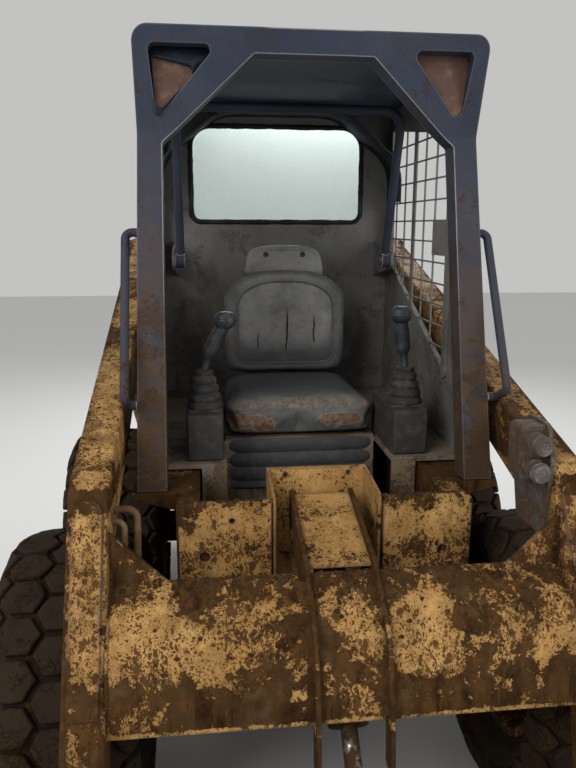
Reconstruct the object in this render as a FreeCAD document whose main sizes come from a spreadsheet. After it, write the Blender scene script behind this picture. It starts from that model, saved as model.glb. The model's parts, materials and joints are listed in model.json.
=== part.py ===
import FreeCAD, Part
import math
import os

# Skid steer loader, full size, in millimetres.
# X is across the machine, Y runs from the front (minus) to the rear (plus) and Z is up.
# Places along the machine are written from the middle of the wheelbase, and every
# sub-part's Placement then moves it so that the origin lies under the middle of the
# whole machine, on the ground.

V = FreeCAD.Vector

SIZES = {
    # Running gear
    "wheelbase": 950,
    "tyre_radius": 382,
    "tyre_width": 318,
    "tyre_inner_x": 448,
    "lug_height": 16,
    "lug_pitch": 76,
    "bead_radius": 212,
    "bead_width": 214,
    "hub_radius": 84,
    "hub_inset": 18,
    "axle_radius": 30,
    "axle_housing_radius": 58,
    "fit": 0.5,
    # Chassis
    "tub_half": 357,
    "tub_wall": 55,
    "tub_ahead": 101,
    "tub_bottom_z": 235,
    "tub_top_z": 868,
    "footwell_floor_z": 470,
    "bulkhead_y": 600,
    "rear_overhang": 855,
    "sill_step": 31,
    "sill_front_y": 450,
    "panel_sheet": 8,
    "panel_top_z": 890,
    "recess_half": 131,
    "recess_floor_z": 560,
    "recess_back_y": 390,
    "hood_top_z": 905,
    # Cab
    "cab_half": 437,
    "post_flare": 18,
    "post_width": 61,
    "cab_bottom_z": 871,
    "waist_z": 1740,
    "roof_z": 1974,
    "post_foot_y": 449,
    "waist_y": 251,
    "visor_y": 324,
    "visor_bar": 55,
    "shoulder_drop": 257,
    "opening_top_half": 147,
    "lamp_edge": 35,
    "frame_depth": 70,
    "cab_rear_y": 612,
    "cab_sheet": 12,
    "window_side": 120,
    "window_low_z": 1529,
    "window_high_z": 1868,
    "cab_hinge_y": 650,
    "cab_hinge_z": 885,
    "hinge_pin_radius": 8,
    "hinge_inset": 35,
    # Seat and controls
    "seat_half": 218,
    "seat_front_y": 95,
    "seat_back_y": 290,
    "seat_box_low_z": 600,
    "deck_front_y": 300,
    "cushion_top_z": 1015,
    "cushion_thick": 120,
    "back_top_z": 1400,
    "lever_x": 285,
    "lever_y": 200,
    "bar_gap": 82,
    "bar_pivot_y": 350,
    "bar_pivot_z": 1400,
    "bar_reach": 500,
    "bar_radius": 14,
    # Lift arms
    "arm_gap": 50,
    "arm_width": 85,
    "arm_depth": 150,
    "arm_edge_radius": 10,
    "arm_rise": 0.2875,
    "knee_ahead": 225,
    "knee_z": 985,
    "leg_ahead": 29,
    "arm_pivot_behind": 475,
    "arm_pivot_z": 1395,
    "arm_pin_radius": 28,
    "hitch_ahead": 525,
    "hitch_z": 235,
    "hitch_pin_radius": 20,
    "cross_top_ahead": 277,
    "cross_top_z": 788,
    "cross_low_ahead": 441,
    "cross_low_z": 540,
    "cross_bulge": 45,
    "cross_sheet": 10,
    "rib_half": 80,
    "rib_sheet": 10,
    "coupler_radius": 20,
    "coupler_length": 64,
    "coupler_inset": 42,
    "coupler_rise": 62,
    # Cylinders
    "lift_base_behind": 490,
    "lift_base_z": 600,
    "lift_eye_y": 260,
    "lift_eye_z": 1060,
    "lift_barrel_radius": 38,
    "lift_rod_radius": 20,
    "tilt_base_ahead": 70,
    "tilt_base_z": 780,
    "tilt_eye_ahead": 490,
    "tilt_eye_z": 400,
    "tilt_barrel_radius": 38,
    "tilt_rod_radius": 18,
    # Quick attach
    "plate_inset": 32,
    "plate_sheet": 12,
    "plate_reach": 110,
    "plate_low_z": 95,
    "plate_high_z": 470,
    # Rear
    "upright_gap": 15,
    "upright_sheet": 29,
    "door_half": 430,
    "door_hinge_reach": 12,
    "door_low_z": 405,
    "door_high_z": 900,
    "cover_z": 915,
    "cover_front_y": 710,
}

# Sizes that follow from the driving ones: across from the cab's width, up from the roof and
# along from the axles, ahead of the front one or behind the rear one
AXLE = "Sizes.wheelbase / 2 + "
RULES = {
    "opening_half": "Sizes.cab_half - Sizes.post_width",
    "post_foot_half": "Sizes.cab_half + Sizes.post_flare",
    "window_half": "Sizes.cab_half - Sizes.window_side",
    "bar_half": "Sizes.cab_half - Sizes.bar_gap",
    "sill_half": "Sizes.cab_half + Sizes.sill_step",
    "upright_inner": "Sizes.cab_half + Sizes.upright_gap",
    "arm_inner": "Sizes.cab_half + Sizes.arm_gap",
    "plate_half": "Sizes.cab_half + Sizes.arm_gap + Sizes.arm_width - Sizes.plate_inset",
    "opening_top_z": "Sizes.roof_z - Sizes.visor_bar",
    "opening_shoulder_z": "Sizes.roof_z - Sizes.shoulder_drop",
    "tub_front_y": AXLE + "Sizes.tub_ahead",
    "knee_y": AXLE + "Sizes.knee_ahead",
    "cross_top_y": AXLE + "Sizes.cross_top_ahead",
    "cross_low_y": AXLE + "Sizes.cross_low_ahead",
    "hitch_y": AXLE + "Sizes.hitch_ahead",
    "plate_front_y": AXLE + "Sizes.hitch_ahead + Sizes.plate_reach",
    "tilt_base_y": AXLE + "Sizes.tilt_base_ahead",
    "tilt_eye_y": AXLE + "Sizes.tilt_eye_ahead",
    "arm_pivot_y": AXLE + "Sizes.arm_pivot_behind",
    "lift_base_y": AXLE + "Sizes.lift_base_behind",
    "rear_end_y": AXLE + "Sizes.rear_overhang",
}
LUGS_ROUND = 26

document = FreeCAD.newDocument("SkidSteerLoader")
sheet = document.addObject("Spreadsheet::Sheet", "Sizes")
for row, (alias, value) in enumerate(SIZES.items(), start=1):
    sheet.set("A%d" % row, alias)
    sheet.set("B%d" % row, str(value))
    sheet.setAlias("B%d" % row, alias)
follows = document.addObject("App::VarSet", "Follows")
for alias, rule in RULES.items():
    follows.addProperty("App::PropertyFloat", alias, "Sizes")
    follows.setExpression(alias, rule)
document.recompute()


def size(alias):
    """A driving size from the sheet, or one that follows from them."""
    return float(getattr(follows if alias in RULES else sheet, alias))


axle_z = size("tyre_radius")
SHIFT = "(Follows.plate_front_y - Follows.rear_end_y) / 2"

nodes = []


def place(thing):
    """Moves a finished sub-part from the wheelbase's middle to the machine's middle."""
    thing.setExpression(".Placement.Base.y", SHIFT)


def node(thing, label):
    """Names a finished sub-part and puts it on the list that is checked and written."""
    thing.Label = label
    place(thing)
    nodes.append(thing)
    return thing


def outline(points):
    """Edges of a closed outline from (u, v) or (u, v, radius) corners: lines and tangent arcs."""
    corners = [(V(p[0], p[1], 0), p[2] if len(p) > 2 else 0) for p in points]
    count = len(corners)
    entries = []
    for i, (corner, radius) in enumerate(corners):
        before, after = corners[i - 1][0], corners[(i + 1) % count][0]
        if radius <= 0:
            entries.append((corner, corner, None))
            continue
        to_before = (before - corner).normalize()
        to_after = (after - corner).normalize()
        half = to_before.getAngle(to_after) / 2
        reach = radius / math.tan(half)
        middle = (to_before + to_after).normalize()
        centre = corner + middle * (radius / math.sin(half))
        entries.append((corner + to_before * reach, corner + to_after * reach, centre - middle * radius))
    edges = []
    for i, (start, end, mid) in enumerate(entries):
        if mid is not None:
            edges.append(Part.Arc(start, mid, end))
        following = entries[(i + 1) % count][0]
        if (following - end).Length > 1e-6:
            edges.append(Part.LineSegment(end, following))
    return edges


def circle(u, v, radius):
    """A full circle as a sketch edge."""
    return [Part.Circle(V(u, v, 0), V(0, 0, 1), radius)]


def sketch(body, name, role, edges, offset):
    """A sketch on one of the body's own origin planes, pushed along the plane's normal."""
    drawn = body.newObject("Sketcher::SketchObject", name)
    planes = [f for f in body.Origin.OriginFeatures if f.Role == role]
    drawn.AttachmentSupport = [(planes[0], "")]
    drawn.MapMode = "FlatFace"
    drawn.AttachmentOffset = FreeCAD.Placement(V(0, 0, 0), FreeCAD.Rotation())
    drawn.setExpression(".AttachmentOffset.Base.z", str(offset))
    drawn.addGeometry(edges, False)
    return drawn


def new_body(name):
    return document.addObject("PartDesign::Body", name)


def pad(body, name, role, edges, offset, length):
    """Adds a prism that starts at the offset and grows along the plane's normal."""
    feature = body.newObject("PartDesign::Pad", name)
    feature.Profile = sketch(body, name + "Sketch", role, edges, offset)
    feature.setExpression("Length", str(length))
    document.recompute()
    return feature


def pocket(body, name, role, edges, offset, length):
    """Cuts a prism that starts at the offset and grows along the plane's normal."""
    before = body.Shape.Volume
    feature = body.newObject("PartDesign::Pocket", name)
    feature.Profile = sketch(body, name + "Sketch", role, edges, offset)
    feature.Reversed = True
    feature.setExpression("Length", str(length))
    document.recompute()
    if not body.Shape.Volume < before - 1:
        raise RuntimeError("the pocket %s cuts nothing" % name)
    return feature


def revolve(body, name, role, edges, axis_role):
    """Turns a profile once round one of the body's own origin axes."""
    feature = body.newObject("PartDesign::Revolution", name)
    feature.Profile = sketch(body, name + "Sketch", role, edges, 0)
    axes = [f for f in body.Origin.OriginFeatures if f.Role == axis_role]
    feature.ReferenceAxis = (axes[0], [""])
    feature.Angle = 360
    document.recompute()
    return feature


def cylinder(name, radius, length, base, direction):
    """A Part cylinder from a base point along a direction, its radius and length as expressions."""
    rod = document.addObject("Part::Cylinder", name)
    rod.setExpression("Radius", str(radius))
    rod.setExpression("Height", str(length))
    rod.Placement = FreeCAD.Placement(base, FreeCAD.Rotation(V(0, 0, 1), direction))
    return rod


def box(name, low, high):
    """A Part box between two corners."""
    brick = document.addObject("Part::Box", name)
    brick.Length, brick.Width, brick.Height = [high[i] - low[i] for i in range(3)]
    brick.Placement.Base = V(*low)
    return brick


def fuse(name, pieces):
    joined = document.addObject("Part::MultiFuse", name)
    joined.Shapes = pieces
    joined.Refine = False
    document.recompute()
    return joined


def cut(name, base, tool):
    left = document.addObject("Part::Cut", name)
    left.Base, left.Tool = base, tool
    left.Refine = False
    document.recompute()
    return left


def compound(name, pieces):
    several = document.addObject("Part::Compound", name)
    several.Links = pieces
    document.recompute()
    return several


def mirrored(name, source):
    """The same piece on the other side of the machine's middle plane."""
    twin = document.addObject("Part::Mirroring", name)
    twin.Source = source
    twin.Normal = V(1, 0, 0)
    twin.Base = V(0, 0, 0)
    document.recompute()
    return twin


def pipe(name, points, bend, radius):
    """A round bar or tube along straight runs joined by arcs of one bend radius."""
    edges = []
    start = points[0]
    for before, corner, after in zip(points, points[1:], points[2:]):
        back, ahead = (before - corner).normalize(), (after - corner).normalize()
        half = back.getAngle(ahead) / 2
        reach = bend / math.tan(half)
        middle = (back + ahead).normalize()
        centre = corner + middle * (bend / math.sin(half))
        first, last = corner + back * reach, corner + ahead * reach
        edges.append(Part.LineSegment(start, first).toShape())
        edges.append(Part.Arc(first, centre - middle * bend, last).toShape())
        start = last
    edges.append(Part.LineSegment(start, points[-1]).toShape())
    wire = Part.Wire(edges)
    profile = Part.Wire(Part.makeCircle(radius, points[0], points[1] - points[0]))
    tube = document.addObject("Part::Feature", name)
    tube.Shape = wire.makePipeShell([profile], True, False)
    return tube


# Chassis tub: chaincases, floor and front wall, open on top for the legs and the engine
def chassis_tub():
    front, rear = -size("tub_front_y"), size("rear_end_y") - 75
    low, top = size("tub_bottom_z"), size("tub_top_z")
    half, wall = size("tub_half"), size("tub_wall")
    body = new_body("ChassisTub")
    pad(body, "TubBlock", "YZ_Plane",
        outline([(front, low + 60), (front + 60, low), (rear, low), (rear, top), (front, top)]),
        "-Sizes.tub_half", "2 * Sizes.tub_half")
    sill_low = top - 18
    for side in (-1, 1):
        name = "Left" if side < 0 else "Right"
        pad(body, "Sill" + name, "XZ_Plane",
            outline([(side * half, top - 50), (side * half, top), (side * size("sill_half"), top),
                     (side * size("sill_half"), sill_low)]),
            "-Sizes.bulkhead_y", "Sizes.bulkhead_y + Sizes.sill_front_y")
    inner = half - wall
    pocket(body, "Footwell", "XY_Plane",
           outline([(-inner, front + 20), (inner, front + 20),
                    (inner, size("bulkhead_y")), (-inner, size("bulkhead_y"))]),
           "Sizes.footwell_floor_z", "Sizes.tub_top_z")
    pocket(body, "EngineBay", "XY_Plane",
           outline([(-inner - 25, size("bulkhead_y") + 40), (inner + 25, size("bulkhead_y") + 40),
                    (inner + 25, rear + 10), (-inner - 25, rear + 10)]),
           "Sizes.tub_bottom_z + 40", "Sizes.tub_top_z")
    gap = size("recess_half") + 0.3
    pocket(body, "FrontNotch", "XZ_Plane",
           outline([(-gap, size("recess_floor_z") - 0.3), (gap, size("recess_floor_z") - 0.3),
                    (gap, top + 10), (-gap, top + 10)]),
           "Follows.tub_front_y - 40", "60")
    hinge_y, hinge_z = size("cab_hinge_y"), size("cab_hinge_z")
    for side in (-1, 1):
        name = "Left" if side < 0 else "Right"
        lug = side * (half - size("hinge_inset")) - 10
        pad(body, "HingeLug" + name, "YZ_Plane",
            outline([(hinge_y - 28, top - 1), (hinge_y + 28, top - 1), (hinge_y + 24, hinge_z + 24, 20),
                     (hinge_y - 24, hinge_z + 24, 20)]),
            lug, "20")
        pocket(body, "HingeBore" + name, "YZ_Plane",
               circle(hinge_y, hinge_z, size("hinge_pin_radius") + size("fit")), lug - 5, "30")
    return node(body, "chassis_tub")


def front_panels():
    """Two bolted plates on the tub's front wall, one on each side of the recess."""
    inner, outer = size("recess_half") + 4, size("tub_half") - 5
    low, top = 300, size("panel_top_z")
    bodies = []
    holes = {-1: [(60, 753, 13), (125, 841, 7)], 1: [(68, 744, 13)]}
    for side in (-1, 1):
        name = "PanelLeft" if side < 0 else "PanelRight"
        body = new_body(name)
        pad(body, name + "Plate", "XZ_Plane",
            outline([(side * inner, low), (side * outer, low), (side * outer, top, 18),
                     (side * inner, top, 8)]),
            "Follows.tub_front_y + 0.2", "Sizes.panel_sheet")
        for i, (inset, v, r) in enumerate(holes[side]):
            pocket(body, "%sHole%d" % (name, i), "XZ_Plane", circle(side * (outer - inset), v, r),
                   "Follows.tub_front_y - 5", "Sizes.panel_sheet + 10")
        bodies.append(body)
    return node(compound("FrontPanels", bodies), "front_panels")


def recess_hood():
    """The folded sheet that lines the recess: two cheeks and a leaning back wall."""
    front = -size("tub_front_y")
    back, top, floor = -size("recess_back_y"), size("hood_top_z"), size("recess_floor_z")
    sheet_y = size("panel_sheet")
    body = new_body("RecessHood")
    foot = back - 110
    pad(body, "HoodBlock", "YZ_Plane",
        outline([(front + 0.3, floor), (foot, floor), (back, top, 6), (back - 12, top), (front + 0.3, top - 16)]),
        "-Sizes.recess_half", "2 * Sizes.recess_half")
    pocket(body, "HoodHollow", "YZ_Plane",
           outline([(front - 20, floor + sheet_y), (foot - sheet_y, floor + sheet_y),
                    (back - sheet_y - 6, top + 20), (front - 20, top + 20)]),
           "-Sizes.recess_half + Sizes.panel_sheet", "2 * (Sizes.recess_half - Sizes.panel_sheet)")
    for side in (-1, 1):
        pocket(body, "HoodBolt%s" % ("Left" if side < 0 else "Right"), "XZ_Plane",
               circle(side * 82, top - 15, 6), "Sizes.recess_back_y - 20", "60")
    return node(body, "recess_hood")


def axle_housings():
    """Flanged tubes with their shafts, from the chaincases out to the four wheels."""
    wheel_middle = "Sizes.tyre_inner_x + Sizes.tyre_width / 2 - Sizes.tub_half"
    pieces = []
    for end in (-1, 1):
        for side in (-1, 1):
            name = "Axle%s%s" % ("Front" if end < 0 else "Rear", "Left" if side < 0 else "Right")
            out = V(side, 0, 0)
            y = end * size("wheelbase") / 2
            start = V(side * (size("tub_half") + 0.2), y, axle_z)
            flange = cylinder(name + "Flange", "Sizes.axle_housing_radius + 34", 16, start, out)
            tube = cylinder(name + "Tube", "Sizes.axle_housing_radius",
                            wheel_middle + " - Sizes.hub_inset - 8", start, out)
            shaft = cylinder(name + "Shaft", "Sizes.axle_radius", wheel_middle + " + 98", start, out)
            pieces.append(fuse(name, [flange, tube, shaft]))
    return node(compound("AxleHousings", pieces), "axle_housings")


def engine_block():
    low_y = size("bulkhead_y") + 95
    brick = box("EngineBlock", (-250, low_y, size("tub_bottom_z") + 40.3),
                (250, low_y + 470, size("tub_bottom_z") + 590))
    return node(compound("Engine", [brick]), "engine_block")


def rear_uprights():
    """Towers that carry the lift arms: a wide plate, a corner box behind the arm and a foot."""
    pivot_y, pivot_z = size("arm_pivot_y"), size("arm_pivot_z")
    rear = size("rear_end_y") - 40
    behind = size("wheelbase") / 2 + size("tyre_radius")
    body = new_body("UprightRight")
    pad(body, "TowerPlate", "YZ_Plane",
        outline([(625, 822), (behind + 43, 822, 30), (behind + 58, 640), (behind + 73, 380), (rear, 380),
                 (rear, 960, 40), (pivot_y + 190, 1470, 40), (pivot_y - 90, 1490, 60), (770, 1180, 80),
                 (625, 960)]),
        "Follows.upright_inner", "Sizes.upright_sheet")
    pad(body, "Foot", "YZ_Plane",
        outline([(behind + 73, 380), (rear, 380), (rear, size("tub_top_z") + 30),
                 (behind + 73, size("tub_top_z") + 30)]),
        "Sizes.tub_half + 0.3", "Follows.upright_inner - Sizes.tub_half")
    pad(body, "CornerBox", "YZ_Plane",
        outline([(pivot_y + 100, 720), (rear, 720), (rear, 958, 40), (pivot_y + 188, 1468, 40),
                 (pivot_y + 100, 1480, 10)]),
        "Follows.upright_inner + Sizes.upright_sheet - 1", "Sizes.arm_width + 1")
    pad(body, "ArmPin", "YZ_Plane", circle(pivot_y, pivot_z, size("arm_pin_radius")),
        "Follows.upright_inner + 1", "Sizes.upright_sheet + Sizes.arm_width + 26")
    pad(body, "LiftBasePin", "YZ_Plane", circle(size("lift_base_y"), size("lift_base_z"), 20),
        "Follows.upright_inner + 1", "Sizes.upright_sheet + Sizes.arm_width - 3")
    left = mirrored("UprightLeft", body)
    return node(compound("RearUprights", [body, left]), "rear_uprights")


def tail_lamps():
    """A rounded lamp on the rear face of each corner box."""
    middle = size("upright_inner") + size("upright_sheet") + size("arm_width") / 2
    body = new_body("TailLampRight")
    pad(body, "LampBlock", "XZ_Plane",
        outline([(middle - 30, 830, 10), (middle + 30, 830, 10), (middle + 30, 930, 10), (middle - 30, 930, 10)]),
        "-(Follows.rear_end_y - 15)", "24.7")
    return node(compound("TailLamps", [body, mirrored("TailLampLeft", body)]), "tail_lamps")


def knuckle(name, z, length, bore):
    """One barrel of the rear door's hinge, or the pin through it where no bore is given."""
    where = V(-size("door_half") - size("door_hinge_reach"), size("rear_end_y") - 14, z)
    if bore is None:
        return cylinder(name, 5, length, where, V(0, 0, 1))
    web = box(name + "Web", (where.x, where.y - 8, z), (-size("door_half") + 1, where.y + 8, z + length))
    return cut(name + "Bored", fuse(name + "Solid", [cylinder(name, 11, length, where, V(0, 0, 1)), web]),
               cylinder(name + "Bore", bore, length + 2, where - V(0, 0, 1), V(0, 0, 1)))


def rear_frame():
    """The door ring and bumper that close the engine bay behind."""
    rear = size("rear_end_y")
    outer, top = size("upright_inner") + 28, size("cover_z") - 0.3
    gate = size("door_half") - 40
    body = new_body("RearRing")
    pad(body, "FrameRing", "XZ_Plane",
        outline([(-outer, 240, 20), (outer, 240, 20), (outer, top), (-outer, top)]),
        "-(Follows.rear_end_y - 30)", "9.7")
    pocket(body, "FrameOpening", "XZ_Plane",
           outline([(-gate, 430, 20), (gate, 430, 20), (gate, 870, 20), (-gate, 870, 20)]),
           "-(Follows.rear_end_y - 20)", "60")
    pad(body, "Bumper", "XZ_Plane",
        outline([(-outer, 240, 20), (outer, 240, 20), (outer, 390, 8), (-outer, 390, 8)]),
        "-Follows.rear_end_y", "30.5")
    pieces = [body]
    hinge_x = -size("door_half") - size("door_hinge_reach")
    for i, z in enumerate((500, 800)):
        for j, shift_z in enumerate((-36, 41)):
            tag = "%d%d" % (i, j)
            pieces.append(cylinder("FrameKnuckle" + tag, 11, 35, V(hinge_x, rear - 14, z + shift_z), V(0, 0, 1)))
            pieces.append(box("KnuckleWeb" + tag, (hinge_x - 11, rear - 31, z + shift_z),
                              (hinge_x + 5, rear - 14, z + shift_z + 35)))
        pieces.append(knuckle("HingePin%d" % i, z - 30, 100, None))
    return node(fuse("RearFrame", pieces), "rear_frame")


# Cab
def lean(z):
    """How far along the machine the cab's front face lies at a height."""
    low, waist, top = size("cab_bottom_z"), size("waist_z"), size("roof_z")
    foot_y, waist_y, visor_y = -size("post_foot_y"), -size("waist_y"), -size("visor_y")
    if z < waist:
        return foot_y + (waist_y - foot_y) * (z - low) / (waist - low)
    return waist_y + (visor_y - waist_y) * (z - waist) / (top - waist)


def cab_front_frame():
    """The roll-over frame's front: posts that lean back to a waist and a visor that leans out."""
    half, foot = size("cab_half"), size("post_foot_half")
    low, waist, top = size("cab_bottom_z"), size("waist_z"), size("roof_z")
    gate, gate_top = size("opening_half"), size("opening_top_half")
    body = new_body("CabFrontFrame")
    pad(body, "FrameSlab", "XZ_Plane",
        outline([(-foot, low), (-half, waist), (-half, top, 38), (half, top, 38), (half, waist), (foot, low),
                 (gate + 6, low), (gate, size("opening_shoulder_z"), 12), (gate_top, size("opening_top_z"), 12),
                 (-gate_top, size("opening_top_z"), 12), (-gate, size("opening_shoulder_z"), 12),
                 (-gate - 6, low)]),
        "0", "Sizes.post_foot_y + 10")
    depth = size("frame_depth")
    ahead = lean(top) - 300
    pocket(body, "FrontFace", "YZ_Plane",
           outline([(lean(low - 5), low - 5), (lean(waist), waist, 60), (lean(top + 5), top + 5),
                    (ahead, top + 5), (ahead, low - 5)]),
           "-Follows.post_foot_half - 5", "2 * Follows.post_foot_half + 10")
    pocket(body, "RearFace", "YZ_Plane",
           outline([(lean(low - 5) + depth, low - 5), (lean(waist) + depth, waist, 60),
                    (lean(top + 5) + depth, top + 5), (100, top + 5), (100, low - 5)]),
           "-Follows.post_foot_half - 5", "2 * Follows.post_foot_half + 10")
    for side in (-1, 1):
        pocket(body, "LampPocket%s" % ("Left" if side < 0 else "Right"), "XZ_Plane",
               lamp_corner(side, 0), "Sizes.waist_y - 60", "160")
    return node(body, "cab_front_frame")


def lamp_corner(side, inset):
    """The triangle between roof corner and opening, pushed in from its top and outer edges."""
    outer, top = size("cab_half") - size("lamp_edge") - inset, size("roof_z") - size("lamp_edge") - 3 - inset
    return outline([(side * outer, top, 16), (side * (size("opening_top_half") + 89 + 3 * inset), top, 14),
                    (side * (size("opening_half") + 10), size("opening_shoulder_z") + 53 + 3 * inset, 16)])


def post_half(z):
    """Half the cab's width over the front posts at a height below the waist."""
    low, waist = size("cab_bottom_z"), size("waist_z")
    foot, half = size("post_foot_half"), size("cab_half")
    return foot + (half - foot) * (z - low) / (waist - low)


def corner_lamps():
    """Lamp lenses set back in the two triangular pockets of the visor."""
    bodies = []
    for side in (-1, 1):
        name = "CornerLamp%s" % ("Left" if side < 0 else "Right")
        body = new_body(name)
        pad(body, name + "Lens", "XZ_Plane", lamp_corner(side, 0.5), "Sizes.waist_y - 8", "22")
        bodies.append(body)
    return node(compound("CornerLamps", bodies), "corner_lamps")


def side_window(grow):
    """The side window's four (y, z) corners: front low, front high, rear high and rear low."""
    low, waist = size("cab_bottom_z"), size("waist_z")
    rear, high = size("cab_rear_y") - 72, size("roof_z") - 114
    return [(-120 - grow, low + 225 - grow), (-100 - grow, waist + 40 + grow), (rear + grow, high + grow),
            (rear + grow, low + 509 - grow)]


def cab_sides():
    """Side walls with their window cut, one node on each side."""
    behind = size("frame_depth") + 0.5
    low, top, waist = size("cab_bottom_z"), size("roof_z") - 48, size("waist_z")
    rear = size("cab_rear_y") + 8
    body = new_body("CabSideRight")
    pad(body, "SideSheet", "YZ_Plane",
        outline([(lean(low) + behind, low), (lean(waist) + behind, waist, 60), (lean(top) + behind, top),
                 (rear, top), (rear, low)]),
        "Sizes.cab_half - Sizes.cab_sheet", "Sizes.cab_sheet")
    pocket(body, "SideWindow", "YZ_Plane", outline([corner + (30,) for corner in side_window(0)]),
           "Sizes.cab_half - Sizes.cab_sheet - 5", "Sizes.cab_sheet + 10")
    node(compound("CabSideRightPlaced", [body]), "cab_side_right")
    return node(compound("CabSideLeftPlaced", [mirrored("CabSideLeft", body)]), "cab_side_left")


def along_edge(first, last, at, across):
    """Where the edge between two (y, z) corners stands at one y (across 0) or one z (across 1)."""
    share = (at - first[across]) / (last[across] - first[across])
    return first[1 - across] + (last[1 - across] - first[1 - across]) * share


def side_screens():
    """Steel mesh over the side windows: a sheet frame, a post, flat wires and a latch plate."""
    wire, grip = 5, 9
    low_front, high_front, high_rear, low_rear = side_window(-8)
    body = new_body("ScreenRight")
    inside = "Sizes.cab_half - Sizes.cab_sheet - 6.3"
    pad(body, "ScreenSheet", "YZ_Plane", outline([corner + (20,) for corner in side_window(32)]), inside, "6")
    pocket(body, "ScreenOpening", "YZ_Plane",
           outline([low_front, high_front, high_rear, low_rear]),
           "Sizes.cab_half - Sizes.cab_sheet - 12", "24")
    uprights = []
    for y, half in ((12, wire / 2), (122, wire / 2), (235, 15), (345, wire / 2), (452, wire / 2)):
        low = along_edge(low_front, low_rear, y, 0) - grip
        high = along_edge(high_front, high_rear, y, 0) + grip
        uprights += outline([(y - half, low), (y + half, low), (y + half, high), (y - half, high)])
    pad(body, "ScreenUprights", "YZ_Plane", uprights, inside, "5")
    rows = []
    for i in range(11):
        z = low_front[1] + 56 + 62 * i
        front = along_edge(low_front, high_front, z, 1) - grip
        if z > high_front[1]:
            front = along_edge(high_front, high_rear, z, 1) - 3 * grip
        rear = high_rear[0] + grip
        if z < low_rear[1]:
            rear = along_edge(low_front, low_rear, z, 1) + grip
        rows += outline([(front, z - wire / 2), (rear, z - wire / 2), (rear, z + wire / 2), (front, z + wire / 2)])
    pad(body, "ScreenRows", "YZ_Plane", rows, inside, "4")
    pad(body, "LatchPlate", "YZ_Plane", outline([(-115, 1430), (22, 1430), (22, 1530), (-115, 1530)]), inside, "6")
    return node(compound("SideScreens", [body, mirrored("ScreenLeft", body)]), "side_screens")


def cab_roof():
    top, half = size("roof_z"), size("cab_half")
    front = lean(top - 47) + size("frame_depth") + 0.5
    body = new_body("CabRoof")
    crown = Part.Arc(V(-half, top - 12, 0), V(0, top + 6, 0), V(half, top - 12, 0))
    edges = [crown, Part.LineSegment(V(half, top - 12, 0), V(half, top - 47, 0)),
             Part.LineSegment(V(half, top - 47, 0), V(-half, top - 47, 0)),
             Part.LineSegment(V(-half, top - 47, 0), V(-half, top - 12, 0))]
    pad(body, "RoofSlab", "XZ_Plane", edges, "-(Sizes.cab_rear_y + 43)",
        "Sizes.cab_rear_y + 43 + %s" % -front)
    return node(body, "cab_roof")


def cab_rear_wall():
    inner = size("cab_half") - size("cab_sheet") - 0.2
    low, top = size("cab_bottom_z"), size("roof_z") - 48
    half = size("window_half")
    hinge_y, hinge_z = size("cab_hinge_y"), size("cab_hinge_z")
    lug_x = size("tub_half") - size("hinge_inset") - 26
    body = new_body("CabRearWall")
    pad(body, "WallSheet", "XZ_Plane", outline([(-inner, low), (inner, low), (inner, top), (-inner, top)]),
        "-Sizes.cab_rear_y", "Sizes.cab_sheet")
    pocket(body, "WallWindow", "XZ_Plane",
           outline([(-half, size("window_low_z"), 28), (half, size("window_low_z"), 28),
                    (half, size("window_high_z"), 62), (-half, size("window_high_z"), 62)]),
           "-Sizes.cab_rear_y - 5", "Sizes.cab_sheet + 10")
    for side in (-1, 1):
        name = "Left" if side < 0 else "Right"
        pad(body, "WallLug" + name, "YZ_Plane",
            outline([(size("cab_rear_y") - 1, low + 1), (hinge_y + 16, low + 1, 13), (hinge_y + 16, hinge_z + 16, 15),
                     (size("cab_rear_y") - 1, hinge_z + 60)]),
            side * lug_x - 10, "20")
        pad(body, "HingePin" + name, "YZ_Plane", circle(hinge_y, hinge_z, size("hinge_pin_radius")),
            side * (lug_x + 20) - 24, "48")
        y0, z0 = size("bar_pivot_y"), size("bar_pivot_z")
        inner_x = size("bar_half") + 20
        pad(body, "BarBracket" + name, "YZ_Plane",
            outline([(size("cab_rear_y") - size("cab_sheet") + 1, z0 - 70), (y0 - 26, z0 - 26, 25),
                     (y0 - 26, z0 + 26, 25), (size("cab_rear_y") - size("cab_sheet") + 1, z0 + 60)]),
            inner_x if side > 0 else -inner_x - 8, "8")
        pad(body, "BarPin" + name, "YZ_Plane", circle(y0, z0, 9),
            inner_x - 38 if side > 0 else -inner_x - 1, "39")
    return node(body, "cab_rear_wall")


def rear_window():
    half, low, top = size("window_half") + 12, size("window_low_z") - 12, size("window_high_z") + 12
    body = new_body("RearWindow")
    pad(body, "Glass", "XZ_Plane", outline([(-half, low, 38), (half, low, 38), (half, top, 70), (-half, top, 70)]),
        "-(Sizes.cab_rear_y + 5.3)", "5")
    return node(body, "rear_window")


def grab_handles():
    """Bent bars on the outside of the front posts."""
    high, low, clear = 1497, 1078, 0.5
    out = size("cab_half") + 37
    bars = []
    for side in (-1, 1):
        path = [V(side * (post_half(high) + clear), -270, high), V(side * out, -270, high),
                V(side * out, -468, 1112), V(side * out, -395, low),
                V(side * (post_half(low) + clear), -395, low)]
        bars.append(pipe("Handle%s" % ("Left" if side < 0 else "Right"), path, 18, 11))
    return node(compound("GrabHandles", bars), "grab_handles")


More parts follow.
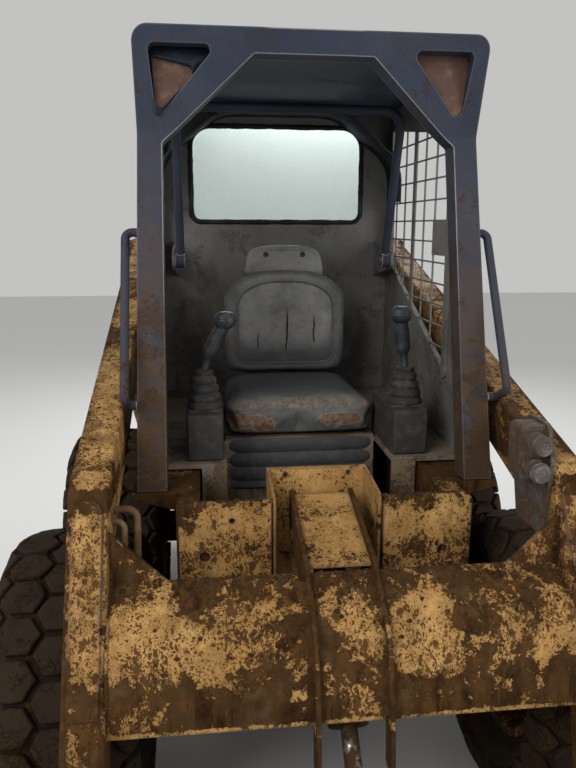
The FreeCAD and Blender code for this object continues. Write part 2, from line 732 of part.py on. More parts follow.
def seat_pan():
    """The deck across the cab, the box that carries the seat and a skirt each side of the legs."""
    inner = size("cab_half") - size("cab_sheet") - 0.2
    leg_half, box_half = size("seat_half") + 10, size("seat_half") + 7
    low, front, deck_front = size("cab_bottom_z"), -size("seat_front_y"), -size("deck_front_y")
    rear = size("cab_rear_y") - size("cab_sheet") - 0.2
    body = new_body("SeatPan")
    pad(body, "Deck", "XY_Plane",
        outline([(-inner, deck_front), (-leg_half, deck_front), (-leg_half, front), (leg_half, front),
                 (leg_half, deck_front), (inner, deck_front), (inner, rear), (-inner, rear)]),
        "Sizes.cab_bottom_z + 4", "12")
    pad(body, "SeatBox", "XY_Plane",
        outline([(-box_half, front), (box_half, front), (box_half, 380), (-box_half, 380)]),
        "Sizes.seat_box_low_z", "Sizes.cushion_top_z - Sizes.cushion_thick - 0.3 - Sizes.seat_box_low_z")
    skirt_out = size("tub_half") - size("tub_wall") - 6
    for side in (-1, 1):
        pad(body, "Skirt%s" % ("Left" if side < 0 else "Right"), "XZ_Plane",
            outline([(side * leg_half, size("seat_box_low_z")), (side * skirt_out, size("seat_box_low_z")),
                     (side * skirt_out, low + 5), (side * leg_half, low + 5)]),
            "Sizes.deck_front_y - 8", "8")
    pad(body, "BackBracket", "XZ_Plane",
        outline([(-150, low + 10), (150, low + 10), (130, size("back_top_z") - 160, 30),
                 (-130, size("back_top_z") - 160, 30)]),
        "-Sizes.seat_back_y - 93.3", "8")
    return node(body, "seat_pan")


def seat_cushion():
    half = size("seat_half")
    front, back = -size("seat_front_y") - 8, size("seat_back_y") + 40
    body = new_body("SeatCushion")
    pad(body, "Cushion", "XY_Plane", outline([(-half, front, 45), (half, front, 45), (half, back, 30),
                                              (-half, back, 30)]),
        "Sizes.cushion_top_z - Sizes.cushion_thick", "Sizes.cushion_thick")
    return node(body, "seat_cushion")


def seat_back():
    half, top = size("seat_half") - 6, size("back_top_z")
    low = size("cushion_top_z") + 4
    body = new_body("SeatBack")
    pad(body, "Back", "XZ_Plane",
        outline([(-half, low, 30), (half, low, 30), (half, top, 90), (-half, top, 90)]),
        "-Sizes.seat_back_y - 85", "85")
    pad(body, "Pouch", "XZ_Plane",
        outline([(-132, top - 40), (132, top - 40), (118, top + 54, 26), (-118, top + 54, 26)]),
        "-Sizes.seat_back_y - 120", "60")
    return node(body, "seat_back")


def control_levers():
    """Side consoles with a rubber boot, a bent lever and a knob on each."""
    x, y = size("lever_x"), -size("lever_y")
    base = size("cab_bottom_z") + 16.2
    console = box("ConsoleBox", (x - 50, y - 80, base), (x + 50, y + 190, base + 130))
    boot = document.addObject("Part::Cone", "Boot")
    boot.Radius1, boot.Radius2, boot.Height = 48, 18, 110
    boot.Placement.Base = V(x, y, base + 129)
    stem = cylinder("Stem", 10, 210, V(x, y, base + 190), V(-0.2, 0, 1))
    knob = document.addObject("Part::Ellipsoid", "Knob")
    knob.Radius1, knob.Radius2, knob.Radius3 = 24, 30, 30
    knob.Placement.Base = V(x - 41, y, base + 400)
    right = fuse("LeverRight", [console, boot, stem, knob])
    return node(compound("ControlLevers", [right, mirrored("LeverLeft", right)]), "control_levers")


def seat_bar():
    """The restraint: two side arms and the bar across, in the raised position."""
    half, reach = size("bar_half"), size("bar_reach")
    y0, z0 = size("bar_pivot_y"), size("bar_pivot_z")
    raised = math.radians(70)
    y1, z1 = y0 - reach * math.cos(raised), z0 + reach * math.sin(raised)
    inset = 18 / reach
    start_y, start_z = y0 + (y1 - y0) * inset, z0 + (z1 - z0) * inset
    corners = [V(-half, start_y, start_z), V(-half, y1, z1), V(half, y1, z1), V(half, start_y, start_z)]
    bar = pipe("SeatBarTube", corners, 60, size("bar_radius"))
    bosses = [cylinder("BarBoss%s" % name, 26, 33, V(side * (half - 14), y0, z0), V(side, 0, 0))
              for name, side in (("Left", -1), ("Right", 1))]
    bores = [cylinder("BarBore%s" % name, 9.4, 60, V(side * (half - 24), y0, z0), V(side, 0, 0))
             for name, side in (("Left", -1), ("Right", 1))]
    return node(cut("SeatBar", fuse("BarSolid", [bar] + bosses), fuse("BarBores", bores)), "seat_bar")


# Lift arms
def doubler(name, side):
    """The round-topped plate welded on the front of the leg, from under the knee down."""
    knee = V(0, -size("knee_y"), size("knee_z"))
    foot = V(0, -size("cross_low_y") - size("leg_ahead"), size("cross_low_z") + 20)
    up = (knee - foot).normalize()
    length = (knee - foot).Length - 70
    half = size("arm_width") / 2 - size("arm_edge_radius") - 2
    body = new_body(name + "Doubler")
    pad(body, name + "DoublerPlate", "XZ_Plane",
        outline([(-half, 0), (half, 0), (half, length, half - 1), (-half, length, half - 1)]), "-1", "7")
    start = foot + up * 38 + V(side * (size("arm_inner") + size("arm_width") / 2), 0, 0)
    body.Placement = FreeCAD.Placement(start, FreeCAD.Rotation(V(0, 0, 1), up))
    return body


def lift_arm(side):
    """One box-section arm: the long beam, the knee and the drop leg down to the hitch pin."""
    rise = size("arm_rise")
    knee_y, knee_z = -size("knee_y"), size("knee_z")
    pivot_y, pivot_z = size("arm_pivot_y"), size("arm_pivot_z")
    drop = size("arm_depth") * math.hypot(1, rise)
    hitch_y, hitch_z = -size("hitch_y"), size("hitch_z")
    top_y, low_y, low_z = -size("cross_top_y"), -size("cross_low_y"), size("cross_low_z")

    def top_at(y):
        return knee_z + rise * (y - knee_y)

    name = "LiftArm%s" % ("Left" if side < 0 else "Right")
    start = "Follows.arm_inner" if side > 0 else "-Follows.arm_inner - Sizes.arm_width"
    body = new_body(name)
    beam = pad(body, name + "Beam", "YZ_Plane",
               outline([(knee_y, knee_z, 70), (pivot_y + 78, top_at(pivot_y + 78), 60),
                        (pivot_y + 70, pivot_z - 78, 60), (pivot_y - 60, pivot_z - 80, 200),
                        (knee_y + 100, top_at(knee_y + 100) - drop, 60), (top_y + 30, size("cross_top_z"), 40),
                        (low_y + 71, low_z + 20, 100), (hitch_y + 108, hitch_z + 145, 60),
                        (hitch_y + 58, hitch_z + 10, 40), (hitch_y + 40, hitch_z - 56, 50),
                        (hitch_y - 58, hitch_z - 56, 54), (hitch_y - 54, hitch_z + 60, 40),
                        (low_y - size("leg_ahead"), low_z + 20, 120)]),
               start, "Sizes.arm_width")
    flat = [i for i, face in enumerate(beam.Shape.Faces, start=1)
            if abs(abs(face.normalAt(0, 0).x) - 1) < 1e-6 and face.Area > 100 * size("arm_depth")]
    edges = body.newObject("PartDesign::Fillet", name + "Edges")
    edges.Base = (beam, ["Face%d" % i for i in flat])
    edges.setExpression("Radius", "Sizes.arm_edge_radius")
    document.recompute()
    outer_face = size("arm_inner") + size("arm_width")
    for word, y, z, radius, thick in (("Pivot", pivot_y, pivot_z, size("arm_pin_radius") + 34, 8),
                                      ("Hitch", hitch_y, hitch_z, size("hitch_pin_radius") + 20, 6)):
        pad(body, name + word + "Boss", "YZ_Plane", circle(y, z, radius),
            outer_face - 1 if side > 0 else -outer_face - thick, str(thick + 1))
    bore = "Follows.arm_inner - 5" if side > 0 else "-Follows.arm_inner - Sizes.arm_width - 15"
    pocket(body, name + "PivotBore", "YZ_Plane",
           circle(pivot_y, pivot_z, size("arm_pin_radius") + size("fit")), bore, "Sizes.arm_width + 20")
    pocket(body, name + "HitchBore", "YZ_Plane",
           circle(hitch_y, hitch_z, size("hitch_pin_radius") + size("fit")), bore, "Sizes.arm_width + 20")
    eye_y, eye_z = size("lift_eye_y"), size("lift_eye_z")
    under = top_at(eye_y) - drop
    for i, x in enumerate((8, size("arm_width") - 20)):
        lug_start = size("arm_inner") + x if side > 0 else -size("arm_inner") - x - 12
        pad(body, "%sLug%d" % (name, i), "YZ_Plane",
            outline([(eye_y - 110, under - 6), (eye_y - 42, eye_z - 34, 30), (eye_y + 42, eye_z - 34, 30),
                     (eye_y + 110, under + 58)]),
            lug_start, "12")
    return node(fuse(name + "Welded", [body, doubler(name, side)]), "lift_arm_%s" % ("left" if side < 0 else "right"))


def crossmember():
    """The curved plate between the arms, its two ribs and the gussets up to the arms."""
    top = V(-size("cross_top_y"), size("cross_top_z"), 0)
    low = V(-size("cross_low_y"), size("cross_low_z"), 0)
    chord = (low - top).normalize()
    out = V(chord.y, -chord.x, 0)
    if out.x > 0:
        out = out * -1
    thick = size("cross_sheet")
    middle = (top + low) * 0.5 + out * size("cross_bulge")
    inner = [p - out * thick for p in (top, middle, low)]
    body = new_body("Crossmember")
    edges = [Part.Arc(top, middle, low), Part.LineSegment(low, inner[2]),
             Part.Arc(inner[2], inner[1], inner[0]), Part.LineSegment(inner[0], top)]
    pad(body, "CurvedPlate", "YZ_Plane", edges, "-Follows.arm_inner", "2 * Follows.arm_inner")
    upper = [(282, 86, 8), (0, 18, 30)]
    lower = [(23, 166, 60), (-20, 20, 80), (-34, -100, 14), (8, -108, 14), (16, -20, 60), (56, 110, 80)]
    behind = [(-8, -46, 40), (152, -60, 30), (196, -50, 30), (252, -28, 30), (282, 12, 10)]
    rib = [(corner.x + dy, corner.y + dz, radius) for corner, points in ((top, upper), (low, lower), (top, behind))
           for dy, dz, radius in points]
    gusset_low, gusset_high = size("cross_top_z") - 12, size("knee_z") - 80
    for side in (-1, 1):
        name = "Rib%s" % ("Left" if side < 0 else "Right")
        start = "Sizes.rib_half - Sizes.rib_sheet" if side > 0 else "-Sizes.rib_half"
        pad(body, name, "YZ_Plane", outline(rib), start, "Sizes.rib_sheet")
        edge = size("arm_inner") * side
        pad(body, "Gusset" + name, "XZ_Plane",
            outline([(edge, gusset_low), (edge, gusset_high), (edge - side * 130, gusset_low)]),
            "Follows.cross_top_y", "8")
    pad(body, "TiltBasePin", "YZ_Plane", circle(-size("tilt_base_y"), size("tilt_base_z"), 16),
        "-Sizes.rib_half - 6", "2 * Sizes.rib_half + 12")
    return node(body, "crossmember")


def tilt_cover():
    """The leaning plate between the ribs that covers the tilt cylinder's foot."""
    body = new_body("TiltCover")
    y0, z0 = -size("cross_top_y"), size("cross_top_z")
    pad(body, "CoverPlate", "YZ_Plane",
        outline([(y0 + 14, z0 + 8), (y0 + 272, z0 + 74), (y0 + 272, z0 + 66), (y0 + 14, z0)]),
        "-Sizes.rib_half + Sizes.rib_sheet + 0.2", "2 * (Sizes.rib_half - Sizes.rib_sheet - 0.2)")
    return node(body, "tilt_cover")


def hydraulic_tubes():
    """Two steel tubes that come off the left arm, drop and run behind the crossmember."""
    x, y, z = -size("arm_inner") + 0.3, -size("knee_y"), size("knee_z") - 80
    rib = -size("rib_half") - 0.3
    back, low = -size("cross_top_y"), size("cross_top_z") - 38
    routes = (("TubeOuter", 24, ((x, y + 60, z), (x + 50, y + 60, z), (x + 50, back + 47, low),
                                 (rib, back + 47, low))),
              ("TubeInner", 20, ((x, y + 28, z - 15), (x + 24, y + 28, z - 15), (x + 24, back + 17, low + 1),
                                 (rib, back + 17, low + 1))))
    tubes = [pipe(name, [V(*p) for p in points], bend, 8) for name, bend, points in routes]
    return node(compound("HydraulicTubes", tubes), "hydraulic_tubes")


def coupler_bracket():
    """The plate on the right arm's inner side and the block with two couplers that face forward."""
    x, y, z = size("arm_inner"), -size("knee_y"), size("knee_z")
    axis_x, face_y = x - size("coupler_inset"), y + 22
    body = new_body("CouplerPlate")
    pad(body, "BracketPlate", "YZ_Plane",
        outline([(y + 140, z - 165), (y, z - 165, 20), (y - 14, z + 15, 30), (y + 10, z + 98, 30),
                 (y + 120, z + 98, 40), (y + 180, z - 25, 40)]),
        "Follows.arm_inner - 10.2", "10")
    pad(body, "CouplerBlock", "XZ_Plane",
        outline([(axis_x - 26, z - 32, 12), (x - 2, z - 32), (x - 2, z + 92), (axis_x - 26, z + 92, 12)]),
        "Follows.knee_y - 82", "60")
    ends = [cylinder("Coupler%d" % i, "Sizes.coupler_radius", "Sizes.coupler_length + 1",
                     V(axis_x, face_y + 1, z + size("coupler_rise") * i), V(0, -1, 0)) for i in (0, 1)]
    return node(fuse("CouplerBracket", [body] + ends), "coupler_bracket")


# Quick attach
def quick_attach():
    """The carrier at the arm tips: face plate, ears on the hitch pins, lock levers and rod lugs."""
    front = -size("plate_front_y")
    low, high = size("plate_low_z"), size("plate_high_z")
    thick, inner = size("plate_sheet"), size("arm_inner")
    hitch_y, hitch_z = -size("hitch_y"), size("hitch_z")
    body = new_body("QuickAttach")
    pad(body, "FacePlate", "YZ_Plane",
        outline([(front, low), (front, high), (front + thick, high), (front + thick, low + 6),
                 (front + 50, low - 8), (front + 48, low - 18, 5)]),
        "-Follows.plate_half", "2 * Follows.plate_half")
    pad(body, "TopLip", "YZ_Plane",
        outline([(front, high - 20), (front, high - 1), (front + 34, high + 18, 6), (front + 40, high + 6),
                 (front + thick, high - 12), (front + thick, high - 20)]),
        "-Follows.arm_inner + 25", "2 * (Follows.arm_inner - 25)")
    pocket(body, "FaceWindow", "XZ_Plane",
           outline([(-300, low + 80, 30), (300, low + 80, 30), (300, high - 110, 30), (-300, high - 110, 30)]),
           "Follows.plate_front_y - 80", "100")
    for side in (-1, 1):
        name = "Left" if side < 0 else "Right"
        pad(body, "Ear" + name, "YZ_Plane",
            outline([(front + thick - 1, high - 60), (hitch_y + 30, hitch_z + 60, 60),
                     (hitch_y + 50, hitch_z - 40, 50), (hitch_y - 20, hitch_z - 52, 40),
                     (front + thick - 1, low + 30)]),
            inner - 22 if side > 0 else -inner + 6, "16")
        pad(body, "HitchPin" + name, "YZ_Plane", circle(hitch_y, hitch_z, size("hitch_pin_radius")),
            inner - 20 if side > 0 else -inner - size("arm_width") - 10, "Sizes.arm_width + 30")
        pad(body, "RodLug" + name, "YZ_Plane",
            outline([(front + thick - 1, high - 8), (-size("tilt_eye_y") + 34, size("tilt_eye_z") + 34, 32),
                     (-size("tilt_eye_y") + 34, size("tilt_eye_z") - 34, 32), (front + thick - 1, high - 150)]),
            30 if side > 0 else -44, "14")
        wedge = side * (inner - 90)
        pad(body, "LockWedge" + name, "XZ_Plane",
            outline([(wedge - 16, low + 20), (wedge + 16, low + 20), (wedge + 16, high - 150),
                     (wedge - 16, high - 150)]),
            "Follows.plate_front_y - Sizes.plate_sheet - 15", "16")
        pad(body, "LockLever" + name, "XZ_Plane",
            outline([(wedge - 9, high - 160, 8), (wedge + 9, high - 160, 8), (wedge + 9 - side * 30, high + 30, 8),
                     (wedge - 9 - side * 30, high + 30, 8)]),
            "Follows.plate_front_y - Sizes.plate_sheet - 28", "14")
    return node(body, "quick_attach")


# Hydraulic cylinders
def cylinder_pair(prefix, base, eye, barrel_radius, rod_radius, barrel_length, eye_width, base_bore, rod_room,
                  labels):
    """A barrel with its base eye and a rod with its own eye, in line between two pins."""
    reach = eye - base
    along = V(0, reach.y, reach.z).normalize()
    across = V(1, 0, 0)
    tube = cylinder(prefix + "Tube", barrel_radius, barrel_length - 30, base + along * 30, along)
    gland = cylinder(prefix + "Gland", barrel_radius + 5, 34, base + along * (barrel_length - 34), along)
    base_eye = cylinder(prefix + "BaseEye", barrel_radius - 2, eye_width, base - across * (eye_width / 2), across)
    solid = fuse(prefix + "BarrelSolid", [tube, gland, base_eye])
    hollow_start = barrel_radius + 14
    hollow = cylinder(prefix + "Hollow", rod_radius + 0.5, barrel_length, base + along * hollow_start, along)
    bore = cylinder(prefix + "Bore", base_bore, eye_width + 4, base - across * (eye_width / 2 + 2), across)
    node(cut(prefix + "Barrel", solid, fuse(prefix + "Cuts", [hollow, bore])), labels[0])
    rod_start = hollow_start + rod_room
    rod = cylinder(prefix + "RodBar", rod_radius, reach.Length - rod_start, base + along * rod_start, along)
    rod_eye = cylinder(prefix + "RodEye", rod_radius + 14, eye_width, eye - across * (eye_width / 2), across)
    node(fuse(prefix + "Rod", [rod, rod_eye]), labels[1])


def lift_cylinders():
    x = size("arm_inner") + size("arm_width") / 2 - 0.5
    for side, name in ((-1, "left"), (1, "right")):
        base = V(side * x, size("lift_base_y"), size("lift_base_z"))
        eye = V(side * x, size("lift_eye_y"), size("lift_eye_z"))
        cylinder_pair("Lift" + name.title(), base, eye, size("lift_barrel_radius"), size("lift_rod_radius"),
                      750, 38, 20.5, 10, ("lift_barrel_" + name, "lift_rod_" + name))


def tilt_cylinder():
    """The cylinder in the middle, with room for the rod to draw back when the plate rolls back."""
    base = V(0, -size("tilt_base_y"), size("tilt_base_z"))
    eye = V(0, -size("tilt_eye_y"), size("tilt_eye_z"))
    cylinder_pair("Tilt", base, eye, size("tilt_barrel_radius"), size("tilt_rod_radius"), 430, 52, 16.5, 76,
                  ("tilt_barrel", "tilt_rod"))


# Rear
def rear_door():
    half, low, high = size("door_half"), size("door_low_z"), size("door_high_z")
    body = new_body("RearDoor")
    pad(body, "DoorSheet", "XZ_Plane",
        outline([(-half, low, 20), (half, low, 20), (half, high, 20), (-half, high, 20)]),
        "-Follows.rear_end_y", "29.5")
    for i in range(6):
        z = low + 150 + 48 * i
        pocket(body, "Louvre%d" % i, "XZ_Plane",
               outline([(-260, z, 8), (260, z, 8), (260, z + 20, 8), (-260, z + 20, 8)]),
               "-Follows.rear_end_y - 5", "40")
    catch = half - 75
    pocket(body, "LatchRecess", "XZ_Plane",
           outline([(catch - 30, 620, 8), (catch + 30, 620, 8), (catch + 30, 720, 8), (catch - 30, 720, 8)]),
           "-Follows.rear_end_y - 5", "20")
    pad(body, "LatchPaddle", "XZ_Plane",
        outline([(catch - 12, 632, 6), (catch + 12, 632, 6), (catch + 12, 708, 6), (catch - 12, 708, 6)]),
        "-Follows.rear_end_y + 3", "13")
    knuckles = [knuckle("DoorKnuckle%d" % i, z, 40, 5.4) for i, z in enumerate((500, 800))]
    return node(fuse("RearDoorLeaf", [body] + knuckles), "rear_door")


def engine_cover():
    half = size("upright_inner") - 10
    front, rear = size("cover_front_y"), size("rear_end_y") - 32
    slot = half - 102
    body = new_body("EngineCover")
    pad(body, "CoverSheet", "XY_Plane",
        outline([(-half, front, 12), (half, front, 12), (half, rear, 12), (-half, rear, 12)]),
        "Sizes.cover_z", "20")
    for i in range(7):
        y = front + 90 + 62 * i
        pocket(body, "CoverSlot%d" % i, "XY_Plane",
               outline([(-slot, y, 8), (slot, y, 8), (slot, y + 26, 8), (-slot, y + 26, 8)]),
               "Sizes.cover_z - 5", "30")
    pad(body, "CoverPin", "YZ_Plane", circle(front + 12, size("cover_z") + 10, 9),
        "-Follows.upright_inner + 0.3", "2 * Follows.upright_inner - 0.6")
    return node(body, "engine_cover")


# Wheels
def treaded_tyre():
    """A tyre about the x axis: the carcass turned once, with three staggered columns of lugs."""
    radius, half = size("tyre_radius"), size("tyre_width") / 2
    bead, bead_half, crown = size("bead_radius"), size("bead_width") / 2, radius - size("lug_height")
    carcass = new_body("Carcass")
    revolve(carcass, "CarcassTurn", "XY_Plane",
            outline([(-bead_half, bead), (-half + 6, bead + 60, 40), (-half, radius - 60, 40),
                     (-half + 24, crown - 9, 14), (-half + 60, crown, 20), (half - 60, crown, 20), (half - 24, crown - 9, 14),
                     (half, radius - 60, 40), (half - 6, bead + 60, 40), (bead_half, bead)]),
            "X_Axis")
    round_half = math.pi * radius / LUGS_ROUND * 0.84
    across_half, foot = size("lug_pitch") * 0.63, crown - 24
    top = math.sqrt(radius ** 2 - round_half ** 2)
    corners = [V(u * across_half, v * round_half, foot)
               for u, v in ((1, 0), (0.5, 1), (-0.5, 1), (-1, 0), (-0.5, -1), (0.5, -1), (1, 0))]
    block = Part.Face(Part.makePolygon(corners)).extrude(V(0, 0, top - foot))
    lugs = []
    for column in (-1, 0, 1):
        for i in range(LUGS_ROUND):
            lug = block.translated(V(column * size("lug_pitch"), 0, 0))
            lug.rotate(V(0, 0, 0), V(1, 0, 0), (i + 0.5 * (column % 2)) * 360 / LUGS_ROUND)
            lugs.append(lug)
    tyre = document.addObject("Part::Feature", "TreadedTyre")
    tyre.Shape = carcass.Shape.fuse(lugs)
    return tyre


def wheel(end, side, form):
    """A tyre and its rim with the hub, turned round the axle."""
    where = ("front" if end < 0 else "rear") + ("_left" if side < 0 else "_right")
    tag = where.title().replace("_", "")
    bead, bead_half = size("bead_radius"), size("bead_width") / 2
    x = side * (size("tyre_inner_x") + size("tyre_width") / 2)
    y = end * size("wheelbase") / 2

    def moved(name, shape_body):
        turned = document.addObject("Part::Compound", name)
        turned.Links = [shape_body]
        shape_body.Placement.Base = V(x, y, axle_z)
        document.recompute()
        return turned

    tyre = document.addObject("Part::Feature", "TyreBody" + tag)
    tyre.Shape = form.Shape
    node(moved("Tyre" + tag, tyre), "tyre_" + where)
    rim = new_body("RimBody" + tag)
    lip, web = bead - 0.3, 40
    inset, hub = -size("hub_inset"), size("hub_radius")
    bore = size("axle_radius") + size("fit")
    profile = [(-bead_half, lip), (-bead_half, lip - 22), (-bead_half + 12, lip - 28, 6), (web - 8, lip - 28),
               (web - 8, hub + 20, 20), (inset, hub + 8, 8), (inset, bore),
               (web + 66, bore), (web + 66, hub - 22, 10), (web + 8, hub - 12, 10),
               (web + 8, lip - 28), (bead_half - 12, lip - 28, 6), (bead_half, lip - 22), (bead_half, lip)]
    revolve(rim, "RimTurn" + tag, "XY_Plane", outline([(side * p[0],) + tuple(p[1:]) for p in profile]), "X_Axis")
    node(moved("Rim" + tag, rim), "rim_" + where)


chassis_tub()
front_panels()
recess_hood()
axle_housings()
engine_block()
rear_uprights()
tail_lamps()
rear_frame()
cab_front_frame()
corner_lamps()
cab_sides()
side_screens()
cab_roof()
cab_rear_wall()
rear_window()
grab_handles()
seat_pan()
seat_cushion()
seat_back()
control_levers()
seat_bar()
lift_arm(-1)
lift_arm(1)
crossmember()
tilt_cover()
hydraulic_tubes()
coupler_bracket()
quick_attach()
lift_cylinders()
tilt_cylinder()
rear_door()
engine_cover()
tyre_form = treaded_tyre()
for end in (-1, 1):
    for side in (-1, 1):
        wheel(end, side, tyre_form)

document.recompute()
for thing in document.Objects:
    if "Invalid" in thing.State or "Error" in thing.State:
        raise RuntimeError("%s did not compute" % thing.Label)
for thing in nodes:
    if thing.Shape.isNull() or not thing.Shape.isValid():
        raise RuntimeError("%s has no valid shape" % thing.Label)

os.makedirs("parts", exist_ok=True)
for thing in nodes:
    thing.Shape.exportStep("parts/%s.step" % thing.Label)
    print(thing.Label, len(thing.Shape.Solids), round(thing.Shape.Volume / 1e6, 2), "litres")
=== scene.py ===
# %% [markdown]
# # A skid steer loader with mud dried on its paint
# The machine is an old compact loader: cream-tan paint under mud and rust on the arms and chassis,
# a dark roll-over cab with a worn vinyl seat, and blocky tyres. The CAD frame brings every rigid
# piece in its real place, in metres. This script gives those pieces their finishes and adds what a
# CAD model leaves out: the padded seat, the tyre tread, the rubber boots, bolts, welds and mud.

# %% Load the frame
import json
import math

import bmesh
import bpy
import numpy as np
from mathutils import Matrix, Vector

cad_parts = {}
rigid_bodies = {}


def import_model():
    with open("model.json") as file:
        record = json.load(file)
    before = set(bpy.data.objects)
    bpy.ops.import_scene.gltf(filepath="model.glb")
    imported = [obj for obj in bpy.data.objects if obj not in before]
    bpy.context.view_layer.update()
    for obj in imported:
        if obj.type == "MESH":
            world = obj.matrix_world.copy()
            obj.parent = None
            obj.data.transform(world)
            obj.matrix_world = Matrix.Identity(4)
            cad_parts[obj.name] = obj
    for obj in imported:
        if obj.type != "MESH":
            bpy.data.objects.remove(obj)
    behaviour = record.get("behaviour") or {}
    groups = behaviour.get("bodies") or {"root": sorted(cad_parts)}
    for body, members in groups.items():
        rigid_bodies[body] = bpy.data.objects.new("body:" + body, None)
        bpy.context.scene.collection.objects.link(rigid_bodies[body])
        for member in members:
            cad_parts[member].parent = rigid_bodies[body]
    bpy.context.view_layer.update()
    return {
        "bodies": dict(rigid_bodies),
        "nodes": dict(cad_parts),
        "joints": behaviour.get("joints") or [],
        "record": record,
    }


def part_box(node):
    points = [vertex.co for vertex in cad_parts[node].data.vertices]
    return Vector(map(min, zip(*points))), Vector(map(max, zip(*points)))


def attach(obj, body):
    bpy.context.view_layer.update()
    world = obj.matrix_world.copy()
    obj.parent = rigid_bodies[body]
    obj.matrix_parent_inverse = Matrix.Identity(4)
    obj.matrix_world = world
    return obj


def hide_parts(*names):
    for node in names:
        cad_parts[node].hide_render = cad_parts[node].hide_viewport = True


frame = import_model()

scene = bpy.context.scene
nodes = frame["nodes"]
rng = np.random.default_rng(11)
print("CAD nodes:", len(nodes))

# %% [markdown]
# ## The camera
# The photograph was taken by someone who stood in front of the machine, a little to the left of
# its middle, with the phone at head height and tipped down. The place and the angles below come
# from solving the camera on the cab opening, the arms and the crossmember.

# %% Camera
CAMERA_PLACE = (-0.284, -2.268, 1.514)
CAMERA_YAW, CAMERA_PITCH, CAMERA_ROLL = 6.78, 12.38, 0.18
FOCAL_SHARE = 719 / 768  # focal length over the picture's long side

camera_data = bpy.data.cameras.new("photo_camera")
camera_data.sensor_fit = "AUTO"
camera_data.sensor_width = 36
camera_data.lens = 36 * FOCAL_SHARE
camera_data.clip_start = 0.05
camera = bpy.data.objects.new("photo_camera", camera_data)
scene.collection.objects.link(camera)
turn = (Matrix.Rotation(math.radians(-CAMERA_YAW), 4, "Z")
        @ Matrix.Rotation(math.radians(90 - CAMERA_PITCH), 4, "X")
        @ Matrix.Rotation(math.radians(CAMERA_ROLL), 4, "Z"))
camera.matrix_world = Matrix.Translation(CAMERA_PLACE) @ turn
scene.camera = camera

# %% [markdown]
# ## Light and floor
# A studio of large soft lamps shows dull paint best: small lamps would leave hard white spots on
# it. One broad lamp stands to the front left, a weaker one to the right, and one behind lifts the
# edges of the roof from the backdrop.

# %% Light, floor and backdrop
LAMPS = {  # name: (place, point it faces, watts, width)
    "key_lamp": ((-2.8, -3.6, 3.4), (0, 0, 0.8), 150, 2.4),
    "fill_lamp": ((3.2, -3.0, 2.2), (0, 0, 0.8), 70, 2.4),
    "back_lamp": ((0.8, 3.6, 3.6), (0, 0, 1.2), 110, 2.0),
}
WORLD_COLOUR, WORLD_STRENGTH = (0.88, 0.88, 0.87, 1), 0.62
FLOOR_COLOUR, FLOOR_ROUGHNESS, FLOOR_REACH = (0.70, 0.70, 0.69, 1), 0.9, 14

scene.view_settings.view_transform = "Standard"
for name, (place, aim, power, width) in LAMPS.items():
    lamp_data = bpy.data.lights.new(name, "AREA")
    lamp_data.energy, lamp_data.size = power, width
    lamp = bpy.data.objects.new(name, lamp_data)
    scene.collection.objects.link(lamp)
    facing = Vector(place) - Vector(aim)
    lamp.matrix_world = Matrix.Translation(place) @ facing.to_track_quat("Z", "Y").to_matrix().to_4x4()

world = bpy.data.worlds.new("studio")
scene.world = world
world.use_nodes = True
background = world.node_tree.nodes["Background"].inputs
background["Color"].default_value, background["Strength"].default_value = WORLD_COLOUR, WORLD_STRENGTH

floor_material = bpy.data.materials.new("floor_paint")
floor_material.use_nodes = True
floor_paint = floor_material.node_tree.nodes["Principled BSDF"].inputs
floor_paint["Base Color"].default_value = FLOOR_COLOUR
floor_paint["Roughness"].default_value = FLOOR_ROUGHNESS
floor_mesh = bpy.data.meshes.new("floor")
floor_corners = [(x * FLOOR_REACH, y * FLOOR_REACH, 0) for x, y in ((-1, -1), (1, -1), (1, 1), (-1, 1))]
floor_mesh.from_pydata(floor_corners, [], [(0, 1, 2, 3)])
floor_mesh.materials.append(floor_material)
floor = bpy.data.objects.new("floor", floor_mesh)
scene.collection.objects.link(floor)

# %% [markdown]
# ## Node groups for the weathering
# Mud, rust and wear show on nearly every piece, so each effect is one node group with its own
# knobs: how large, how much, how soft. A group only puts out masks and heights. The shader stays
# in each material.

# %% A small helper that places nodes and joins sockets
BEVEL_SAMPLES = 6


